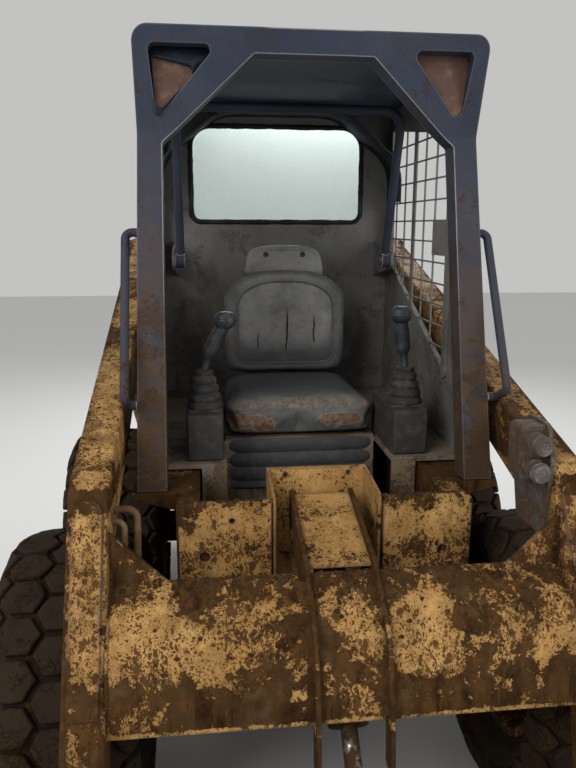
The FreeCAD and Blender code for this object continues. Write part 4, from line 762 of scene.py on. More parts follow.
def tread(profile):
    """All blocks of one tyre about the x axis, and each point's share of the full height."""
    run = np.concatenate([[0], np.cumsum(np.linalg.norm(np.diff(profile, axis=0), axis=1))])
    slope = np.gradient(profile, axis=0)
    slope = slope / np.linalg.norm(slope, axis=1, keepdims=True)
    rings, heights = block_template()
    columns = (np.arange(BLOCK_COLUMNS) - (BLOCK_COLUMNS - 1) / 2) * COLUMN_PITCH
    around = np.arange(BLOCKS_ROUND) * 2 * math.pi / BLOCKS_ROUND
    column, turn = (part.reshape(-1) for part in np.meshgrid(np.arange(BLOCK_COLUMNS), around, indexing="ij"))
    turn = turn + (column % 2) * math.pi / BLOCKS_ROUND
    jitter = rng.normal(0, BLOCK_RAGGED, (len(column), RING_POINTS, 2))
    flat = rings[None] + jitter[:, None] * (rings[None, :, :1, :1] != 0)
    wear = rng.uniform(0.80, 1.0, len(column))
    across = flat[..., 0] + columns[column][:, None, None]
    round_angle = flat[..., 1] / TREAD_RADIUS + turn[:, None, None]
    at = run[-1] / 2 + across
    x, radius, slope_x, slope_r = (np.interp(at, run, values) for values in (*profile.T, *slope.T))
    fade = np.clip((TREAD_RADIUS + 0.02 - np.abs(across) * 0.9) / 0.25, 0.35, 1.0)
    lift = heights[None, :, None] * fade * wear[:, None, None]
    x, radius = x - slope_r * lift, radius + slope_x * lift
    points = np.stack([x, radius * np.cos(round_angle), radius * np.sin(round_angle)], -1)
    faces = grid_faces(len(heights), RING_POINTS, wrap_columns=True)
    every = faces[None] + (np.arange(len(column)) * len(heights) * RING_POINTS)[:, None, None]
    return points.reshape(-1, 3), every.reshape(-1, 4)


def tyre(name, side):
    """One treaded tyre in the place of its CAD solid."""
    low, high = (np.array(corner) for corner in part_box(name))
    centre = (low + high) / 2
    profile = tyre_profile()
    carcass = lathe(profile, centre, 0, CARCASS_TURNS)
    block_points, block_faces = tread(profile)
    piece = build(name + "_treaded", [carcass, (block_points * [side, 1, 1] + centre, block_faces)],
                  rubber, name.replace("tyre", "wheel"))
    place = np.empty(len(piece.data.vertices) * 3)
    piece.data.vertices.foreach_get("co", place)
    place = place.reshape(-1, 3) - centre
    radius = np.hypot(place[:, 1], place[:, 2])
    half = len(profile) // 2
    floor_radius = np.interp(np.abs(place[:, 0]), np.abs(profile[:half, 0])[::-1], profile[:half, 1][::-1])
    raised = np.clip((radius - floor_radius) / (BLOCK_HIGH * 0.7), 0, 1)
    piece.data.attributes.new("block_height", "FLOAT", "POINT").data.foreach_set("value", raised)
    piece.data.set_sharp_from_angle(angle=math.radians(38))
    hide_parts(name)
    return piece


for end in ("front", "rear"):
    for word, side in (("left", -1), ("right", 1)):
        made = tyre("tyre_%s_%s" % (end, word), side)

# %% [markdown]
# ## The seat
# The cushion and the back are foam under thick vinyl. Each starts as a closed surface of two
# parameters, and a short cloth simulation with pressure inside makes the vinyl belly out and
# crease. The result is applied to the mesh, so that the piece is plain geometry afterwards.
# The back is an arch: straight sides, a round top, a fat padded rim and a flatter panel inside
# it, which age has worn paler than the rim.

# %% Vinyl and foam
VINYL = (0.064, 0.065, 0.066)
VINYL_WORN = (0.128, 0.127, 0.123)
VINYL_PANEL = (0.225, 0.224, 0.213)
VINYL_CRACKED = (0.19, 0.142, 0.104)
# The next colour is painted shade for the seat's shaded parts
VINYL_PAINTED_SHADE = (0.056, 0.058, 0.062)
VINYL_CRACK, VINYL_SLIT = (0.16, 0.115, 0.08), (0.012, 0.010, 0.010)
FOAM_DARK, FOAM = (0.105, 0.062, 0.038), (0.235, 0.150, 0.095)
FRAYED = (0.33, 0.245, 0.17)


def oval_distance(board, split, centre, half, power=2.0):
    """How far a point is from a centre in X and Z, where 1 is the edge of a (super)ellipse."""
    parts = []
    for key, middle, reach in (("X", centre[0], half[0]), ("Z", centre[1], half[1])):
        share = board.maths("DIVIDE", board.minus(split[key], middle), reach)
        parts.append(board.maths("POWER", board.maths("ABSOLUTE", share), power))
    return board.maths("POWER", board.plus(parts[0], parts[1]), 1 / power)


def seat_vinyl(name, tears=(), worn_band=None, panel=None, slits=(), painted_shade=None):
    """Cracked vinyl. Tears are (x, z, half width, half height) ellipses where the foam shows, the
    worn band is (low, high) on the front edge, the panel is a paler (centre, half) area, and a
    slit is an upright split (x, z low, z high) with frayed edges. The last argument is (axis,
    start, full): painted shade, which darkens the vinyl from start to full along the axis."""
    made, board, shader, where = finish(name, 0.5)
    cloud = board.noise(where, 7.0, 7.0, 0.65)
    colour = board.mix(board.step(cloud, 0.36, 0.68), VINYL, VINYL_WORN)
    split = board.axes(where)
    ragged = board.minus(board.noise(where, 38.0, 6.0, 0.7), 0.5)
    if panel is not None:
        far = board.scaled(ragged, 0.25, oval_distance(board, split, *panel, 4.0))
        pale = board.times(board.step(far, 1.06, 0.82), board.step(cloud, 0.20, 0.60))
        colour = board.mix(board.times(pale, 0.85), colour, VINYL_PANEL)
    # Painted shade: the vinyl is darkened where the seat lies in shadow
    if painted_shade is not None:
        axis, start, full = painted_shade
        colour = board.mix(board.times(board.step(split[axis], start, full), 0.75), colour, VINYL_PAINTED_SHADE)
    cracks = board.add("ShaderNodeTexVoronoi", {"Vector": board.stretch(where, (1, 1, 1.6)), "Scale": 75.0},
                       feature="DISTANCE_TO_EDGE").outputs["Distance"]
    crack = board.times(board.step(cracks, 0.07, 0.0), board.step(board.noise(where, 16.0, 5.0), 0.50, 0.62))
    colour = board.mix(board.times(crack, 0.6), colour, VINYL_CRACK)
    dust = board.step(board.noise(where, 40.0, 6.0, 0.7), 0.5, 0.75)
    colour = board.mix(board.times(dust, 0.35), colour, CAB_DUST)
    relief = board.scaled(crack, -0.5, board.times(board.noise(where, 260.0, 3.0), 0.35))
    if worn_band is not None:
        low, high = worn_band
        above, below = board.step(split["Z"], low - 0.01, low), board.step(split["Z"], high + 0.01, high)
        inside = board.times(above, below)
        front = board.step(split["Y"], -0.172, -0.196)
        scuff = board.step(board.noise(where, 80.0, 6.0, 0.8), 0.42, 0.54)
        worn = board.times(board.times(inside, front), scuff)
        colour = board.mix(worn, colour, VINYL_CRACKED)
        relief = board.scaled(worn, -0.5, relief)
    front = board.step(split["Y"], -0.10, -0.14)
    for x, z, half_x, half_z in tears:
        far = board.scaled(ragged, 1.6, oval_distance(board, split, (x, z), (half_x, half_z)))
        torn = board.times(board.step(far, 1.04, 0.97), front)
        rim = board.maths("ABSOLUTE", board.minus(far, 1.06))
        rim = board.times(board.step(rim, 0.09, 0.03), front)
        foam = board.mix(board.step(board.noise(where, 55.0, 6.0, 0.7), 0.35, 0.7), FOAM_DARK, FOAM)
        colour = board.mix(torn, colour, foam)
        colour = board.mix(board.times(rim, 0.7), colour, FRAYED)
        relief = board.scaled(torn, -3.0, relief)
    for x, low, high in slits:
        bent = board.scaled(board.noise(where, 22.0, 4.0, 0.6), 0.016, -x - 0.008)
        away = board.maths("ABSOLUTE", board.plus(split["X"], bent))
        above, below = board.step(split["Z"], low, low + 0.02), board.step(split["Z"], high, high - 0.05)
        along = board.times(above, below)
        frayed = board.times(board.step(away, 0.006, 0.003), along)
        colour = board.mix(board.times(frayed, 0.55), colour, VINYL_CRACKED)
        slit = board.times(board.step(away, 0.0032, 0.0012), along)
        colour = board.mix(slit, colour, VINYL_SLIT)
        relief = board.scaled(slit, -3.0, relief)
    feed(board, shader, colour, board.scaled(cloud, 0.35, 0.36))
    raise_surface(board, shader, relief, 0.8, 0.0016)
    return made


BACK_TOP = 1.364
back_low, back_high = (np.array(corner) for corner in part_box("seat_back"))
BACK_FOOT = back_low[2] - 0.009
BACK_MIDDLE_Z, BACK_HALF_Z = (BACK_FOOT + BACK_TOP) / 2, (BACK_TOP - BACK_FOOT) / 2
# The back's lower part gets painted shade, darker towards its foot
vinyl_back = seat_vinyl("vinyl_back", panel=((0.0, BACK_MIDDLE_Z + 0.030), (0.170, 0.140)),
                        slits=((0.004, 1.075, 1.250), (0.100, 1.110, 1.225), (-0.096, 1.090, 1.170)),
                        painted_shade=("Z", 1.17, 1.06))
vinyl_pouch = seat_vinyl("vinyl_pouch", panel=((0.0, 1.43), (0.20, 0.08)))
# The cushion's rear gets painted shade, darker away from its front edge
vinyl_cushion = seat_vinyl("vinyl_cushion", [(-0.162, 0.950, 0.060, 0.021), (-0.112, 0.938, 0.034, 0.022),
                                            (0.120, 0.952, 0.060, 0.017)],
                           (0.990, 1.022), painted_shade=("Y", -0.172, -0.120))

# %% The cushion and back as closed surfaces
BACK_SEAM = 0.80  # the groove's share of the way from the back's middle to its edge
BACK_RIM, BACK_GROOVE, BACK_DOME, BACK_CREASE = 0.016, 0.007, 0.008, 0.009  # heights and depths


def signed_power(value, power):
    """A power that keeps the sign: below 1 it turns a circle into a rounded square."""
    return np.sign(value) * np.abs(value) ** power


def pillow(low, high, square=0.28, flat=0.4, crown=0.012, rows=40, columns=96):
    """A box with rounded sides: x and y follow cos and sin to a small power, z follows sin to
    another, and the top gains a crown that falls off towards the rim."""
    low, high = np.asarray(low, float), np.asarray(high, float)
    middle, half = (low + high) / 2, (high - low) / 2
    up = np.linspace(-math.pi / 2, math.pi / 2, rows)[:, None]
    around = np.linspace(0, 2 * math.pi, columns, endpoint=False)[None]
    ring = signed_power(np.cos(up), flat)
    x = ring * signed_power(np.cos(around), square)
    y = ring * signed_power(np.sin(around), square)
    z = signed_power(np.sin(up), flat) * np.ones_like(around)
    z = z * (1 + crown / half[2] * (1 - x * x) * (1 - y * y) - crown / half[2])
    return np.stack([x, y, z], -1) * half + middle, grid_faces(rows, columns, wrap_columns=True)


def arch_outline(around):
    """The back's outline at an angle: nearly square below, nearly round above, 1 at the edge."""
    above = np.clip(np.sin(around), 0, 1) ** 0.6
    wide = signed_power(np.cos(around), 0.20 + 0.48 * above)
    tall = signed_power(np.sin(around), 0.20 + 0.66 * above)
    return wide, tall


def arched_back(centre, half_width, half_height, thick, rows=64, columns=160):
    """Rings of the arch from the front's middle over the rim to the rear's middle. The depth is a
    flat panel, a groove round it, a padded rim and a crease down the lower middle."""
    t = np.linspace(0, 2, rows)[:, None]
    out = np.sin(t * math.pi / 2) ** 0.85
    wide, tall = arch_outline(np.linspace(0, 2 * math.pi, columns, endpoint=False)[None])
    x, z = out * wide * half_width, out * tall * half_height
    edge = np.sqrt(np.clip(1 - out ** 8, 0, 1))
    front = np.where(t <= 1, 1.0, 0.0)
    rim = np.exp(-((out - 0.91) / 0.08) ** 2) * BACK_RIM
    groove = np.exp(-((out - BACK_SEAM) / 0.03) ** 2) * BACK_GROOVE
    dome = (1 - out ** 2) * BACK_DOME
    crease = (np.exp(-(x / 0.007) ** 2) * np.clip((0.02 - z) / 0.05, 0, 1) * np.clip((z + 0.15) / 0.03, 0, 1)
              * BACK_CREASE)
    depth = np.where(t <= 1, -1, 1) * edge * thick / 2
    y = depth + front * edge * (groove + crease - rim - dome + BACK_RIM)
    return np.stack([x, y, z], -1) + np.asarray(centre), grid_faces(rows, columns, wrap_columns=True)


# %% [markdown]
# The simulation recipe: remesh the shape into even voxels, switch gravity off, let pressure push
# the cloth outwards for twenty frames, and cap how far any point may go. Points in a pinned group
# stay where they are, which keeps the base flat on its pan.

# %% Cloth simulation for the pads
PUFF_FRAMES, PUFF_VOXEL = 20, 0.006


def coordinates(mesh):
    """The mesh's points as an array of rows."""
    place = np.empty(len(mesh.vertices) * 3)
    mesh.vertices.foreach_get("co", place)
    return place.reshape(-1, 3)


def puff(piece, pressure, cap, held_axis, held_level, held_sign):
    """Lets the vinyl of a pad belly out and crease, then applies the result to the mesh. Points
    before the level, along the axis in the sign's direction, are held."""
    remesh = piece.modifiers.new("even_mesh", "REMESH")
    remesh.mode, remesh.voxel_size = "VOXEL", PUFF_VOXEL
    depsgraph = bpy.context.evaluated_depsgraph_get()
    even = bpy.data.meshes.new_from_object(piece.evaluated_get(depsgraph))
    piece.modifiers.clear()
    if not even.materials:
        even.materials.append(piece.data.materials[0])
    piece.data = even
    start = coordinates(even)
    held = np.nonzero(held_sign * (start[:, held_axis] - held_level) < 0)[0]
    group = piece.vertex_groups.new(name="held")
    group.add(held.tolist(), 1.0, "REPLACE")
    cloth = piece.modifiers.new("vinyl", "CLOTH")
    settings = cloth.settings
    settings.quality, settings.mass = 5, 0.6
    settings.tension_stiffness = settings.compression_stiffness = 12
    settings.shear_stiffness, settings.bending_stiffness = 6, 0.8
    settings.use_pressure, settings.uniform_pressure_force = True, pressure
    settings.shrink_min = -0.035
    settings.effector_weights.gravity = 0
    settings.vertex_group_mass = "held"
    cloth.collision_settings.use_collision = False
    for number in range(1, PUFF_FRAMES + 1):
        scene.frame_set(number)
    depsgraph = bpy.context.evaluated_depsgraph_get()
    result = bpy.data.meshes.new_from_object(piece.evaluated_get(depsgraph))
    move = coordinates(result) - start
    far = np.linalg.norm(move, axis=1, keepdims=True)
    piece.modifiers.clear()
    piece.vertex_groups.clear()
    bpy.data.meshes.remove(result)
    even.vertices.foreach_set("co", (start + move * np.minimum(1, cap / np.maximum(far, 1e-9))).reshape(-1))
    even.polygons.foreach_set("use_smooth", np.ones(len(even.polygons), bool))
    even.update()
    scene.frame_set(1)
    print(piece.name, "moved up to %.1f mm" % (1000 * np.minimum(far, cap).max()))


# %% Cushion, back and pouch


def wider_in_front(points, faces, share=0.045):
    """Pulls the front's sides apart and the rear's together by the share."""
    middle, half = points[..., 1].mean(), np.ptp(points[..., 1]) / 2
    ahead = np.clip((middle - points[..., 1]) / half, -1, 1)
    return points * np.stack([1 + share * ahead, np.ones_like(ahead), np.ones_like(ahead)], -1), faces


cushion_low, cushion_high = (np.array(corner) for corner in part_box("seat_cushion"))
plump = pillow(cushion_low + [0.005, 0.002, 0.0], cushion_high - [0.005, 0.004, 0.002],
               square=0.20, flat=0.26, crown=0.008)
cushion = build("seat_cushion_pad", [wider_in_front(*plump)], vinyl_cushion, "cab")
puff(cushion, pressure=3.0, cap=0.009, held_axis=2, held_level=cushion_low[2] + 0.02, held_sign=1)
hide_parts("seat_cushion")

BACK_HALF_X, BACK_THICK = 0.208, 0.078
back_middle = np.array([0, back_low[1] + 0.050, BACK_MIDDLE_Z])
back = build("seat_back_pad", [arched_back(back_middle, BACK_HALF_X, BACK_HALF_Z - 0.001, BACK_THICK)],
             vinyl_back, "cab")
puff(back, pressure=2.5, cap=0.006, held_axis=1, held_level=back_middle[1] + 0.02, held_sign=-1)
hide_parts("seat_back")

POUCH_HALF, POUCH_FOOT, POUCH_FRONT, POUCH_INSET, POUCH_NARROWS = 0.146, 1.315, 0.056, 0.006, 0.16
pouch_low = [-POUCH_HALF, back_high[1] - POUCH_FRONT, POUCH_FOOT]
pouch_high = [POUCH_HALF, back_high[1] - POUCH_INSET, back_high[2] - POUCH_INSET]
pouch_points, pouch_faces = pillow(pouch_low, pouch_high, square=0.22, flat=0.5, crown=0.0)
rise = (pouch_points[:, :, 2:] - pouch_low[2]) / (pouch_high[2] - pouch_low[2])
narrower = np.concatenate([1 - POUCH_NARROWS * rise, np.ones_like(rise), np.ones_like(rise)], -1)
pouch = build("headrest_pouch", [(pouch_points * narrower, pouch_faces)], vinyl_pouch, "cab")

# %% [markdown]
# Piping covers the seams: a cord under vinyl that runs round the panel of the back and along the
# top of the pouch. Each is a thin tube along a path.

# %% Piping and pouch fixings
BACK_CORD, BACK_CORD_AHEAD, BACK_CORD_POINTS, POUCH_CORD = 0.0030, 0.0300, 180, 0.0045


def back_piping():
    """A tube in the groove between rim and panel."""
    wide, tall = arch_outline(np.linspace(0, 2 * math.pi, BACK_CORD_POINTS, endpoint=False))
    x, z = wide * BACK_HALF_X * BACK_SEAM, tall * BACK_HALF_Z * BACK_SEAM
    path = np.stack([x, np.full_like(x, -BACK_CORD_AHEAD), z], -1) + back_middle
    return tube(rounded(even_steps(path, BACK_CORD_POINTS), 1, True), BACK_CORD, 10, True, (0, 1, 0))


def pouch_piping():
    """A tube over the pouch's top edge, bent down at both ends."""
    top = pouch_high[2] - 0.012
    path = [(-0.118, top - 0.060), (-0.113, top - 0.018), (-0.098, top), (0.098, top), (0.113, top - 0.018),
            (0.118, top - 0.060)]
    path = rounded([(x, pouch_low[1] + 0.004, z) for x, z in path], 3)
    return tube(path, POUCH_CORD, 10, up=(0, 1, 0))


def pouch_fixing(x):
    """A round press stud with a rolled rim."""
    profile = rounded([(0.006, 0.0), (0.006, 0.009), (-0.001, 0.010), (-0.002, 0.006), (-0.0005, 0.0)], 2)
    return lathe(profile, (x, pouch_low[1] + 0.001, pouch_high[2] - 0.030), 1, 20)


build("seat_piping", [back_piping(), pouch_piping()], vinyl_pouch, "cab")
build("pouch_fixings", [pouch_fixing(-0.064), pouch_fixing(0.064)], boot_rubber, "cab")

# %% [markdown]
# ## Levers
# Each hand lever comes out of a ribbed rubber boot. The boot is a profile turned about the
# lever's axis: its radius shrinks upwards and swings in and out with every rib. The grip ends in
# a round knob with a shallow dish on top.

# %% Boots, stems and knobs
CONSOLE_TOP, DECK_TOP = 1.0175, 0.8872
LEVER_X, LEVER_Y = 0.285, -0.31
LEVERS = {-1: (0.060, 1.264), 1: (0.018, 1.274)}  # by side: inward lean and height of the knob
CONE_WIDE, CONE_TAPER, CONE_HIGH, RIBS, RIB_OUT = 0.046, 0.026, 0.108, 4.5, 0.006
STEM_RADIUS, GRIP_EXTRA = 0.010, 0.011
KNOB_RADIUS, KNOB_HALF, KNOB_GROOVE, KNOB_DISH = 0.0305, 0.0255, 0.0015, 0.004
CONSOLE_HALF, CONSOLE_AHEAD, CONSOLE_BEHIND = 0.050, 0.080, 0.190
PLATE_HALF, PLATE_SUNK, PLATE_HIGH = 0.048, 0.004, 0.006


def ribbed_boot(side):
    """Radius against height: a cone that gets narrower upwards, with round ribs on it."""
    up = np.linspace(0, 1, 90)
    radius = CONE_WIDE - CONE_TAPER * up ** 1.3 + RIB_OUT * np.abs(np.sin(up * RIBS * math.pi)) ** 0.7
    along = CONSOLE_TOP + up * CONE_HIGH
    profile = np.stack([along, radius], -1)
    profile = np.concatenate([[[along[0], 0]], profile, [[along[-1], 0]]])
    return lathe(profile, (side * LEVER_X, LEVER_Y, 0), 2, 48)


def lever_stem(side):
    """A bent grip that leans in towards the driver, thicker where the hand holds it."""
    up = np.linspace(0, 1, 40)
    lean, knob_z = LEVERS[side]
    x = side * (LEVER_X - lean * up ** 1.5)
    z = CONSOLE_TOP + 0.09 + up * (knob_z - CONSOLE_TOP - 0.10)
    path = np.stack([x, np.full_like(x, LEVER_Y) + 0.01 * np.sin(up * math.pi), z], -1)
    grip = np.clip((up - 0.30) / 0.15, 0, 1) * (1 - 0.35 * np.clip((up - 0.75) / 0.25, 0, 1))
    return tube(path, STEM_RADIUS + GRIP_EXTRA * grip, 24, up=(0, 1, 0))


def knob(side):
    """A ball, a little wider than it is tall, with a groove round it and a dish on top."""
    up = np.linspace(-math.pi / 2, math.pi / 2, 40)
    radius = KNOB_RADIUS * np.cos(up) ** 0.80 - KNOB_GROOVE * np.exp(-((up - 0.15) / 0.06) ** 2)
    along = KNOB_HALF * np.sin(up) - KNOB_DISH * np.exp(-(radius / 0.012) ** 2) * (up > 0)
    radius[[0, -1]] = 0
    lean, knob_z = LEVERS[side]
    return lathe(np.stack([along, radius], -1), (side * (LEVER_X - lean), LEVER_Y, knob_z), 2, 48)


def console(side):
    """The side console: a pillow with nearly square edges, with a raised plate under the boot."""
    x = side * LEVER_X
    low = x - CONSOLE_HALF, LEVER_Y - CONSOLE_AHEAD, DECK_TOP
    high = x + CONSOLE_HALF, LEVER_Y + CONSOLE_BEHIND, CONSOLE_TOP
    plate_low = x - PLATE_HALF, LEVER_Y - PLATE_HALF, CONSOLE_TOP - PLATE_SUNK
    plate_high = x + PLATE_HALF, LEVER_Y + PLATE_HALF, CONSOLE_TOP + PLATE_HIGH
    return [pillow(low, high, square=0.10, flat=0.10, crown=0.0, rows=24, columns=64),
            pillow(plate_low, plate_high, square=0.12, flat=0.3, crown=0.0, rows=12, columns=48)]


build("lever_boots", [ribbed_boot(-1), ribbed_boot(1)], boot_rubber, "cab")
build("lever_stems", [lever_stem(-1), lever_stem(1)], knob_plastic, "cab")
build("lever_knobs", [knob(-1), knob(1)], knob_plastic, "cab")
consoles = build("lever_consoles", console(-1) + console(1), console_plastic, "cab")
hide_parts("control_levers")

# %% [markdown]
# ## Window gasket
# The rear glass is held by a fat rubber gasket that has gone ragged. It is a tube along the
# window's outline, a rectangle whose corners are cut round, with a little noise in its radius.

# %% Gasket round the rear window
GASKET_POINTS, GASKET_RADIUS, GASKET_INSET, GASKET_AHEAD = 360, 0.009, 0.012, 0.0135
GASKET_RAGGED, GASKET_SMOOTH = 0.0016, 7  # height of the noise and how many points it is averaged over
CORNER_LOW, CORNER_HIGH, CORNER_POINTS = 0.035, 0.075, 12
glass_low, glass_high = (np.array(corner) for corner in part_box("rear_window"))


def window_loop():
    """A closed outline of the window at one y: quarter circles, joined by straight runs."""
    left, right = glass_low[0] + GASKET_INSET, glass_high[0] - GASKET_INSET
    low, high = glass_low[2] + GASKET_INSET, glass_high[2] - GASKET_INSET
    runs = []
    for x, z, radius, start in ((right, low, CORNER_LOW, -90), (right, high, CORNER_HIGH, 0),
                                (left, high, CORNER_HIGH, 90), (left, low, CORNER_LOW, 180)):
        angle = np.radians(np.linspace(start, start + 90, CORNER_POINTS))
        centre_x = x - math.copysign(radius, x)
        centre_z = z + (radius if z == low else -radius)
        run = [centre_x + radius * np.cos(angle), np.full(CORNER_POINTS, glass_low[1] - GASKET_AHEAD),
               centre_z + radius * np.sin(angle)]
        runs.append(np.stack(run, -1))
    return even_steps(np.concatenate(runs), GASKET_POINTS)


noise = rng.normal(0, 1, GASKET_POINTS + GASKET_SMOOTH - 1)
ragged = np.convolve(noise, np.ones(GASKET_SMOOTH) / GASKET_SMOOTH, "valid") * GASKET_RAGGED
build("window_gasket", [tube(window_loop(), GASKET_RADIUS + ragged, 12, True, (0, 1, 0))], gasket_rubber,
      "cab")

# %% [markdown]
# ## Bolts
# Hexagon heads on round washers hold the front panels and the wheels. One head is a ring of six
# corners with a small chamfer, and `bolt_heads` copies it to a table of places.

# %% Bolt heads
# A washer and a hexagon: how many corners, and (height, radius) of every ring as shares of the size
WASHER = (24, ((0, 0), (0, 1.08), (0.14, 1.08), (0.16, 0.2)))
HEXAGON = (6, ((0.1, 0), (0.1, 0.86), (0.62, 0.86), (0.74, 0.74), (0.74, 0)))
PANEL_BOLT, PANEL_PLACES = 0.0075, [(x, z) for z in (0.862, 0.60, 0.34) for x in (0.165, 0.325)]
# The nuts sit on the wheel's web, which lies a web depth inside the rim's outer edge
NUTS, NUT, NUT_CIRCLE, WEB_DEPTH = 8, 0.013, 0.105, 0.107 - 0.0485


def bolt_heads(name, places, direction, size, body, material=None):
    """Hexagon heads with washers; direction is the axis that they point along, with its sign."""
    direction = np.asarray(direction, float)
    helper = np.array([0.0, 0.0, 1.0]) if abs(direction[2]) < 0.9 else np.array([1.0, 0.0, 0.0])
    first = np.cross(helper, direction)
    second = np.cross(direction, first)
    parts = []
    for count, rings in (WASHER, HEXAGON):
        angle = np.linspace(0, 2 * math.pi, count, endpoint=False)
        spin = rng.uniform(0, math.pi / 3, len(places))[:, None, None] if count == 6 else 0
        angle = angle[None, None] + spin * np.ones((len(places), 1, 1))
        up, out = (np.array(part)[None, :, None] * size for part in zip(*rings))
        points = (np.asarray(places, float)[:, None, None]
                  + (np.cos(angle) * out)[..., None] * first + (np.sin(angle) * out)[..., None] * second
                  + (up * np.ones_like(angle))[..., None] * direction)
        faces = grid_faces(len(rings), count, wrap_columns=True)
        every = (faces[None] + (np.arange(len(places)) * len(rings) * count)[:, None, None]).reshape(-1, 4)
        parts.append((points, every))
    return build(name, parts, material or steel_bolts, body, smooth=False)


panel_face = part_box("front_panels")[0][1]
places = [(side * x, panel_face, z) for side in (-1, 1) for x, z in PANEL_PLACES]
bolt_heads("panel_bolts", places, (0, -1, 0), PANEL_BOLT, "chassis", paint_panels)

for end in ("front", "rear"):
    for word, side in (("left", -1), ("right", 1)):
        low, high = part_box("rim_%s_%s" % (end, word))
        middle = [(low[k] + high[k]) / 2 for k in (1, 2)]
        web = (low[0] if side < 0 else high[0]) - side * WEB_DEPTH
        angle = np.linspace(0, 2 * math.pi, NUTS, endpoint=False)
        places = np.stack([np.full(NUTS, web), middle[0] + NUT_CIRCLE * np.cos(angle),
                           middle[1] + NUT_CIRCLE * np.sin(angle)], -1)
        bolt_heads("wheel_nuts_%s_%s" % (end, word), places, (side, 0, 0), NUT, "wheel_%s_%s" % (end, word))

# %% [markdown]
# ## Roof lining, lamp bezel and seat boot
# Under the roof, in front of the rear wall, a dark lining runs from wall to wall as an arch. It
# rounds off the window's upper corners. Its shape is a section across the cab, with curves for
# corners, carried along the cab. A bead closes its front edge.

# %% Roof lining
LINING_FRONT, LINING_BACK, LINING_THICK = 0.31, 0.486, 0.004
LINING_LEFT = [(-0.4225, 1.60), (-0.4225, 1.735), (-0.215, 1.905)]


def lining_section():
    """(x, z) across the cab: up the left wall, over in an arch and down the right wall."""
    right = [(-x, z) for x, z in reversed(LINING_LEFT)]
    return soft_polygon(LINING_LEFT + right, 0.07, 9, closed=False)


def arch_lining():
    """A closed shell: the section at four corners of a thin rectangle (y, offset), as a ring."""
    section = lining_section()
    along = np.gradient(section, axis=0)
    inward = np.stack([along[:, 1], -along[:, 0]], -1) / np.linalg.norm(along, axis=1, keepdims=True)
    rows = []
    for y, offset in ((LINING_FRONT, 0.0), (LINING_BACK, 0.0), (LINING_BACK, LINING_THICK),
                      (LINING_FRONT, LINING_THICK)):
        moved = section + inward * offset
        rows.append(np.stack([moved[:, 0], np.full(len(moved), y), moved[:, 1]], -1))
    return np.stack(rows), grid_faces(4, len(section), wrap_rows=True)


def lining_bead():
    section = lining_section()
    path = np.stack([section[:, 0], np.full(len(section), LINING_FRONT - 0.001), section[:, 1] - 0.003], -1)
    return tube(path, 0.0035, 8, up=(0, 1, 0))


build("roof_lining", [arch_lining()], lining_vinyl, "cab")
build("lining_bead", [lining_bead()], lining_vinyl, "cab")

# %% [markdown]
# The left lamp still has its bezel: a dark moulding that leaves a five-cornered opening over the
# brown lens. Outline and opening are closed paths with the same number of points, and the
# moulding's surface runs from one to the other over a raised lip.

# %% Lamp bezel
BEZEL_OUTER = [(-0.401, 1.935), (-0.238, 1.935), (-0.386, 1.772)]
BEZEL_OPENING = [(-0.393, 1.912), (-0.300, 1.892), (-0.295, 1.868), (-0.372, 1.795), (-0.388, 1.800)]
BEZEL_RINGS = ((0.0, 0.0), (0.0, -0.006), (0.45, -0.004), (0.80, -0.013), (0.95, -0.013), (1.0, 0.0))
BEZEL_POINTS = 96
bezel_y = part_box("corner_lamps")[0][1] - 0.001


def bezel():
    """Rings from the pocket's outline over a lip to the opening, at depths in front of the lens."""
    outer_loop = even_steps(soft_polygon(BEZEL_OUTER, 0.012), BEZEL_POINTS)
    inner_loop = even_steps(soft_polygon(BEZEL_OPENING, 0.008), BEZEL_POINTS)
    # Each outer point takes the inner point at the same angle about the lamp's middle
    middle = np.mean(BEZEL_OPENING, 0)
    outer_angle, inner_angle = (np.arctan2(*(loop - middle).T[::-1]) for loop in (outer_loop, inner_loop))
    order = np.argsort(inner_angle)
    inner_loop = np.stack([np.interp(outer_angle, inner_angle[order], inner_loop[order, k],
                                     period=2 * math.pi) for k in (0, 1)], -1)
    rings = []
    for share, depth in BEZEL_RINGS:
        ring = outer_loop * (1 - share) + inner_loop * share
        rings.append(np.stack([ring[:, 0], np.full(BEZEL_POINTS, bezel_y + depth), ring[:, 1]], -1))
    return np.stack(rings), grid_faces(len(rings), BEZEL_POINTS, wrap_columns=True)


build("lamp_bezel", [bezel()], bezel_plastic, "cab")

# %% [markdown]
# Between the seat box and the cushion sits a rubber boot that lets the seat move on its springs.
# Its front is a row of soft horizontal folds.

# %% Seat boot
SEAT_FRONT, BOOT_HALF, BOOT_TOP, BOOT_HIGH, BOOT_SQUARE = -0.205, 0.226, 0.894, 0.155, 0.35
FOLDS, FOLD_DEPTH = 3.5, 0.007
BOOT_ROWS, BOOT_COLUMNS = 60, 80


def seat_boot():
    """A wall round the front of the seat box: x and y follow a rounded U, and its distance from
    the box swings with height as its folds. Its rows run from foot to top, so it faces forwards."""
    u = np.linspace(-1, 1, BOOT_COLUMNS)
    sine, cosine = np.sin(u * math.pi / 2), np.cos(u * math.pi / 2)
    x = BOOT_HALF * signed_power(sine, BOOT_SQUARE)
    y = SEAT_FRONT + 0.06 * (1 - signed_power(cosine, BOOT_SQUARE))
    v = np.linspace(1, 0, BOOT_ROWS)[:, None]
    fold = 0.004 + FOLD_DEPTH * np.abs(np.sin(v * FOLDS * math.pi)) ** 0.7
    fold = np.where((v == 0) | (v == 1), 0.0005, fold)
    points = [x * (1 + fold / BOOT_HALF * np.abs(sine)), y - fold * cosine ** 0.3,
              (BOOT_TOP - BOOT_HIGH * v) * np.ones_like(u)]
    return np.stack(points, -1), grid_faces(BOOT_ROWS, BOOT_COLUMNS)


build("seat_boot", [seat_boot()], boot_dark, "cab", recalculate=False)

# %% [markdown]
# ## Welds
# The arms, ribs and gussets are welded up from plate. A weld bead is a row of small overlapping
# drops, so it is a tube whose radius swings along its length.

